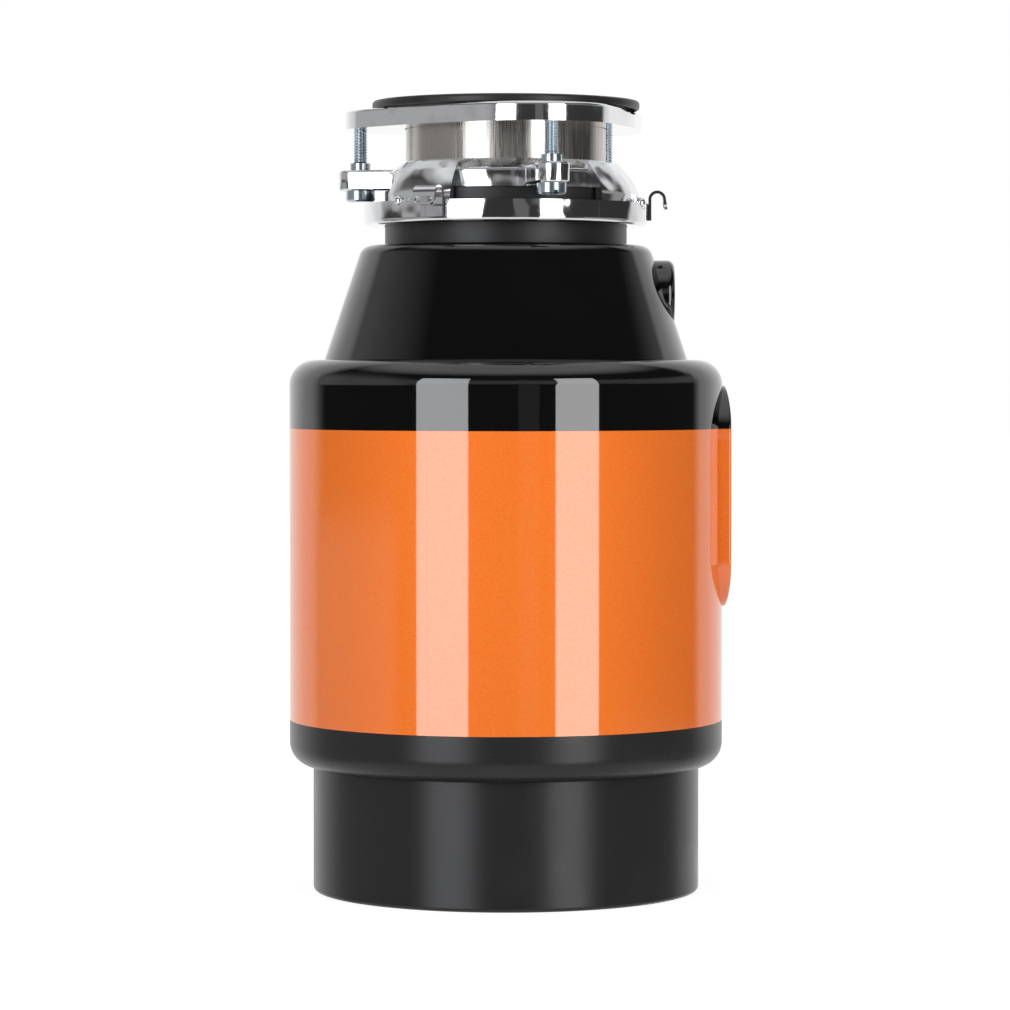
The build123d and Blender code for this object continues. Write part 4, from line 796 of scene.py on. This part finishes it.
@dataclass
class SinkMount(SubAssembly):
    """Everything from the sink flange down to the lock ring."""

    nodes: Sequence[str] = (
        "sink_flange", "sink_gasket", "backup_flange", "clamp_screws", "screw_collars", "snap_ring",
        "mounting_ring", "lock_ring", "lock_ears", "mounting_collar", "splash_guard",
    )
    smoothed: Sequence[str] = (
        "sink_flange", "sink_gasket", "backup_flange", "screw_collars", "snap_ring",
        "mounting_ring", "lock_ring", "lock_ears", "mounting_collar", "splash_guard",
    )
    screws: int = 3
    screw_circle: float = 66.0 * MM
    first_screw: float = math.radians(-73.0)
    thread_radius: float = 3.15 * MM
    thread_pitch: float = 1.27 * MM
    thread_depth: float = 0.55 * MM
    thread_rounds: int = 32
    thread_steps: float = 8.0
    head_rounds: int = 64
    head_radius: float = 6.4 * MM
    head_height: float = 4.7 * MM
    head_chamfer: float = 0.8 * MM
    slot_width: float = 1.6 * MM
    slot_depth: float = 1.8 * MM

    def build(self) -> None:
        """Adds the smooth stand-ins, then the threaded clamp screws."""
        super().build()
        low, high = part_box("clamp_screws")
        tree = GeometryTree(
            "clamp_screw_set",
            {
                "Circle": self.screw_circle, "Turn": self.first_screw, "Radius": self.thread_radius,
                "Pitch": self.thread_pitch, "Depth": self.thread_depth, "Bottom": low.z,
                "Length": high.z - low.z - self.head_height, "Head Radius": self.head_radius,
                "Head Height": self.head_height, "Chamfer": self.head_chamfer,
                "Slot Width": self.slot_width, "Slot Depth": self.slot_depth,
            },
        )
        screw = tree.join(self._thread(tree), self._head(tree))
        places = tree.node(
            "GeometryNodeMeshCircle",
            {"Vertices": self.screws, "Radius": tree.size("Circle")},
            {"fill_type": "NONE"},
        ).outputs[0]
        turned = tree.node(
            "GeometryNodeTransform",
            {"Geometry": places, "Rotation": tree.vector(0.0, 0.0, tree.size("Turn"))},
        ).outputs[0]
        index = tree.node("GeometryNodeInputIndex").outputs[0]
        bearing = tree.math("MULTIPLY_ADD", index, FULL_TURN / self.screws, tree.size("Turn"))
        spread = tree.node(
            "GeometryNodeInstanceOnPoints",
            {"Points": turned, "Instance": screw, "Rotation": tree.vector(0.0, 0.0, bearing)},
        ).outputs[0]
        mesh = tree.finish(spread, finish_of("clamp_screws").material())
        smooth_by_angle(mesh)
        add_piece("clamp_screw_set", mesh, "housing", ["clamp_screws"])

    def _thread(self, tree: GeometryTree) -> bpy.types.NodeSocket:
        """A rod with a helical V groove.

        Args:
            tree: The tree to add to.

        Returns:
            The threaded rod on its own axis, in place in height.
        """
        length, pitch, radius = tree.size("Length"), tree.size("Pitch"), tree.size("Radius")
        steps = tree.math("MULTIPLY", tree.math("DIVIDE", length, pitch), self.thread_steps)
        rod = tree.node(
            "GeometryNodeMeshCylinder",
            {"Vertices": self.thread_rounds, "Side Segments": steps, "Radius": radius, "Depth": length},
            {"fill_type": "NGON"},
        )
        point = tree.node("GeometryNodeInputPosition").outputs[0]
        across, along, up = tree.node("ShaderNodeSeparateXYZ", {0: point}).outputs
        turn = tree.math("DIVIDE", tree.math("ARCTAN2", along, across), FULL_TURN)
        phase = tree.math("FRACT", tree.math("SUBTRACT", tree.math("DIVIDE", up, pitch), turn))
        groove = tree.math("ABSOLUTE", tree.math("MULTIPLY_ADD", phase, 2.0, -1.0))
        share = tree.math("DIVIDE", tree.size("Depth"), radius)
        shrink = tree.math("SUBTRACT", 1.0, tree.math("MULTIPLY", groove, share))
        moved = tree.vector(tree.math("MULTIPLY", across, shrink), tree.math("MULTIPLY", along, shrink), up)
        cut = tree.node("GeometryNodeSetPosition", {"Geometry": rod.outputs["Mesh"], "Position": moved})
        middle = tree.math("MULTIPLY_ADD", length, 0.5, tree.size("Bottom"))
        return tree.lift(cut.outputs[0], tree.math("ADD", middle, tree.size("Head Height")))

    def _head(self, tree: GeometryTree) -> bpy.types.NodeSocket:
        """A round head with a chamfered foot and a screwdriver slot.

        Args:
            tree: The tree to add to.

        Returns:
            The head on the screw's axis, in place in height.
        """
        chamfer, wide = tree.size("Chamfer"), tree.size("Head Radius")
        narrow = tree.math("SUBTRACT", wide, chamfer)
        foot = self._round(tree, narrow, wide, chamfer)
        barrel = self._round(tree, wide, wide, tree.math("SUBTRACT", tree.size("Head Height"), chamfer))
        past_head = tree.math("MULTIPLY", wide, 3.0)
        both_sides = tree.math("MULTIPLY", tree.size("Slot Depth"), 2.0)
        size = tree.vector(past_head, tree.size("Slot Width"), both_sides)
        slot = tree.node("GeometryNodeMeshCube", {"Size": size})
        blank = tree.node("GeometryNodeMeshBoolean", {}, {"operation": "UNION", "solver": "EXACT"})
        for part in (foot, tree.lift(barrel, chamfer)):
            tree.tree.links.new(part, blank.inputs["Mesh 2"])
        cut = tree.node(
            "GeometryNodeMeshBoolean",
            {"Mesh 1": blank.outputs["Mesh"], "Mesh 2": slot.outputs["Mesh"]},
            {"operation": "DIFFERENCE", "solver": "EXACT"},
        )
        return tree.lift(cut.outputs["Mesh"], tree.size("Bottom"))

    def _round(
        self, tree: GeometryTree, bottom: object, top: object, height: object
    ) -> bpy.types.NodeSocket:
        """A cone or cylinder that stands on the ground plane.

        Args:
            tree: The tree to add to.
            bottom: Radius at the foot.
            top: Radius at the top.
            height: Height.

        Returns:
            The closed form.
        """
        values = {"Vertices": self.head_rounds, "Radius Top": top, "Radius Bottom": bottom, "Depth": height}
        return tree.node("GeometryNodeMeshCone", values, {"fill_type": "NGON"}).outputs["Mesh"]


@dataclass
class OuterShells(SubAssembly):
    """The black upper cover, the lacquered sleeve and the black base."""

    nodes: Sequence[str] = (
        "top_cover", "cover_band", "body_sleeve", "bottom_tray", "base_cover", "base_plate", "base_screws",
    )
    smoothed: Sequence[str] = nodes


@dataclass
class GrindingEnd(SubAssembly):
    """The grind chamber and what turns in it."""

    nodes: Sequence[str] = (
        "chamber_foam", "grind_chamber", "hopper_cone", "hopper_neck", "inlet_nipple", "inlet_plug",
        "grind_ring", "turntable", "swivel_lug_a", "swivel_lug_b", "lug_pins", "table_nut",
        "drain_chamber", "outlet_stub", "outlet_gasket", "shaft_seal",
    )
    smoothed: Sequence[str] = (
        "grind_chamber", "hopper_cone", "hopper_neck", "inlet_nipple", "inlet_plug", "grind_ring",
        "turntable", "swivel_lug_a", "swivel_lug_b", "lug_pins", "table_nut", "drain_chamber",
        "outlet_stub", "outlet_gasket",
    )


@dataclass
class Motor(SubAssembly):
    """The motor between its two end frames."""

    nodes: Sequence[str] = (
        "motor_foam", "upper_end_frame", "upper_bearing", "lower_end_frame", "lower_bearing",
        "motor_can", "through_bolts", "stator_core", "upper_winding", "lower_winding", "rotor_core",
        "thrust_spacer", "rotor_shaft",
    )


@dataclass
class BaseElectrics(SubAssembly):
    """What is reached from underneath, and the parts wired to it."""

    nodes: Sequence[str] = (
        "jam_socket", "start_capacitor", "capacitor_clamp", "overload_protector", "reset_button",
        "terminal_block", "wiring_hatch", "hatch_screws", "cable_bush",
    )
    smoothed: Sequence[str] = ("jam_socket", "reset_button", "wiring_hatch", "hatch_screws", "cable_bush")


@dataclass(frozen=True)
class Softbox:
    """A tall lamp at a bearing from the camera's direction."""

    name: str
    bearing: float
    width: float
    distance: float = 1.7
    low: float = -0.6
    high: float = 1.15
    radiance: float = 3.6
    colour: Colour = WHITE

    def build(self) -> bpy.types.Object:
        """Adds the lamp, upright and facing the object's axis.

        Returns:
            The lamp.
        """
        tall = self.high - self.low
        lamp = bpy.data.lights.new(self.name, "AREA")
        lamp.shape = "RECTANGLE"
        lamp.size = self.width
        lamp.size_y = tall
        lamp.color = self.colour
        lamp.energy = self.radiance * math.pi * self.width * tall
        made = bpy.data.objects.new(self.name, lamp)
        turn = math.radians(self.bearing)
        made.location = (
            self.distance * math.sin(turn), -self.distance * math.cos(turn), (self.low + self.high) / 2
        )
        inward = Vector((-made.location.x, -made.location.y, 0.0))
        made.rotation_euler = inward.to_track_quat("-Z", "Y").to_euler()
        bpy.context.scene.collection.objects.link(made)
        return made


@dataclass
class Studio:
    """Camera, lamps, floor and the white surround."""

    camera_distance: float = 1.80
    camera_height: float = 0.228
    camera_side: float = -0.0004
    aim_height: float = 0.169
    lens: float = 146.0
    sensor: float = 36.0
    far_clip: float = 100.0
    fill_level: float = 0.58
    floor_reach: float = 12.0
    floor_grey: float = 0.8
    floor_glow: float = 1.42
    floor_glow_share: float = 0.6
    lamps: Sequence[Softbox] = (
        Softbox("left_strip", bearing=-32.75, width=0.826, colour=(0.95, 0.97, 1.0)),
        Softbox("right_strip", bearing=36.75, width=0.695),
    )

    def build(self) -> None:
        """Adds everything that isn't part of the object."""
        self._camera()
        self._world()
        self._floor()
        for lamp in self.lamps:
            lamp.build()
        bpy.context.scene.view_settings.view_transform = "Standard"

    def _camera(self) -> None:
        """Puts the camera in front, a little above the middle."""
        data = bpy.data.cameras.new("camera")
        data.lens = self.lens
        data.sensor_width = self.sensor
        data.sensor_fit = "HORIZONTAL"
        data.clip_end = self.far_clip
        made = bpy.data.objects.new("camera", data)
        made.location = (self.camera_side, -self.camera_distance, self.camera_height)
        aim = Vector((self.camera_side, 0.0, self.aim_height)) - made.location
        made.rotation_euler = aim.to_track_quat("-Z", "Y").to_euler()
        bpy.context.scene.collection.objects.link(made)
        bpy.context.scene.camera = made

    def _world(self) -> None:
        """White to the eye, an even fill for dull surfaces and painted patches for mirrors."""
        world = bpy.data.worlds.new("surround")
        bpy.context.scene.world = world
        world.use_nodes = True
        graph = Graph(world.node_tree)
        paths = graph.node("ShaderNodeLightPath").socket.node.outputs
        seen = Sock(graph, paths["Is Camera Ray"])
        through = Sock(graph, paths["Is Transmission Ray"])
        glossy = Sock(graph, paths["Is Glossy Ray"])
        mirrored = glossy * self._patches(graph) + (1.0 - glossy) * self.fill_level
        plain = seen.greater(through)
        level = plain + (1.0 - plain) * mirrored
        shade = graph.node("ShaderNodeBackground", values={"Color": rgba(WHITE), "Strength": level})
        graph.node("ShaderNodeOutputWorld", values={"Surface": shade})

    @staticmethod
    def _patches(graph: Graph) -> Sock:
        """The room that mirrors see: white behind the object, mostly dark on the camera's side.

        Args:
            graph: The world's tree.

        Returns:
            The brightest patch in each direction.
        """
        direction = graph.node("ShaderNodeTexCoord", output="Generated")
        parts = graph.node("ShaderNodeSeparateXYZ", values={0: direction}).socket.node.outputs
        across, along, up = (Sock(graph, part) for part in parts)
        right = across.spread(-0.1, 0.1)
        left_edge = along.spread(0.34, 0.60, 0.035, 0.75) * (1.0 - right)
        right_edge = along.spread(0.44, 0.60, 0.035, 0.75) * right
        behind = left_edge + right_edge + along.spread(0.62, 0.90, 0.0, 0.25)
        card = across.spread(0.10, 0.12, 0.0, 0.13) * across.spread(0.29, 0.31, 1.0, 0.0)
        card = card * along.spread(-0.9, -0.85, 1.0, 0.0)
        ceiling = up.spread(0.62, 0.9, 0.0, 0.8)
        ground = up.spread(-0.6, -0.3, 0.85, 0.0)
        panel = across.spread(-0.9, -0.62, 0.42, 0.0) * up.spread(0.0, 0.05)
        panel = panel * up.spread(0.3, 0.6, 1.0, 0.35)
        haze = up.spread(0.06, 0.16, 0.0, 0.3) * up.spread(0.3, 0.45, 1.0, 0.0)
        low_left = across.spread(-0.92, -0.80, 0.34, 0.0) * up.spread(-0.045, -0.025, 1.0, 0.0)
        low_right = across.spread(0.80, 0.92, 0.0, 0.3) * up.spread(-0.095, -0.08, 1.0, 0.0)
        lit = behind
        for patch in (ceiling, ground, panel, haze, low_left, low_right, card):
            lit = lit.greater(patch)
        return lit

    def _floor(self) -> None:
        """Lays a pale floor that keeps the shadow."""
        reach = self.floor_reach
        mesh = bpy.data.meshes.new("floor")
        corners = [(-reach, -reach, 0.0), (reach, -reach, 0.0), (reach, reach, 0.0), (-reach, reach, 0.0)]
        mesh.from_pydata(corners, [], [(0, 1, 2, 3)])
        floor = bpy.data.objects.new("floor", mesh)
        bpy.context.scene.collection.objects.link(floor)
        made = bpy.data.materials.new("pale_floor")
        made.use_nodes = True
        graph = Graph(made.node_tree)
        paths = graph.node("ShaderNodeLightPath").socket.node.outputs
        plain = Sock(graph, paths["Is Camera Ray"]).greater(Sock(graph, paths["Is Transmission Ray"]))
        grey = rgba((self.floor_grey,) * 3)
        matt = graph.node("ShaderNodeBsdfDiffuse", values={"Color": grey})
        glow = graph.node("ShaderNodeEmission", values={"Color": rgba(WHITE), "Strength": self.floor_glow})
        shade = graph.node(
            "ShaderNodeMixShader", values={0: plain * self.floor_glow_share, 1: matt, 2: glow}
        )
        graph.node("ShaderNodeOutputMaterial", values={"Surface": shade})
        mesh.materials.append(made)
        floor.visible_glossy = False


def main() -> None:
    """Builds and dresses the whole scene."""
    logging.basicConfig(level=logging.INFO, format="%(name)s: %(message)s")
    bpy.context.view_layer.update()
    Studio().build()
    groups: List[SubAssembly] = [SinkMount(), OuterShells(), GrindingEnd(), Motor(), BaseElectrics()]
    for group in groups:
        group.build()
        group.dress()


if __name__ == "__main__":
    main()
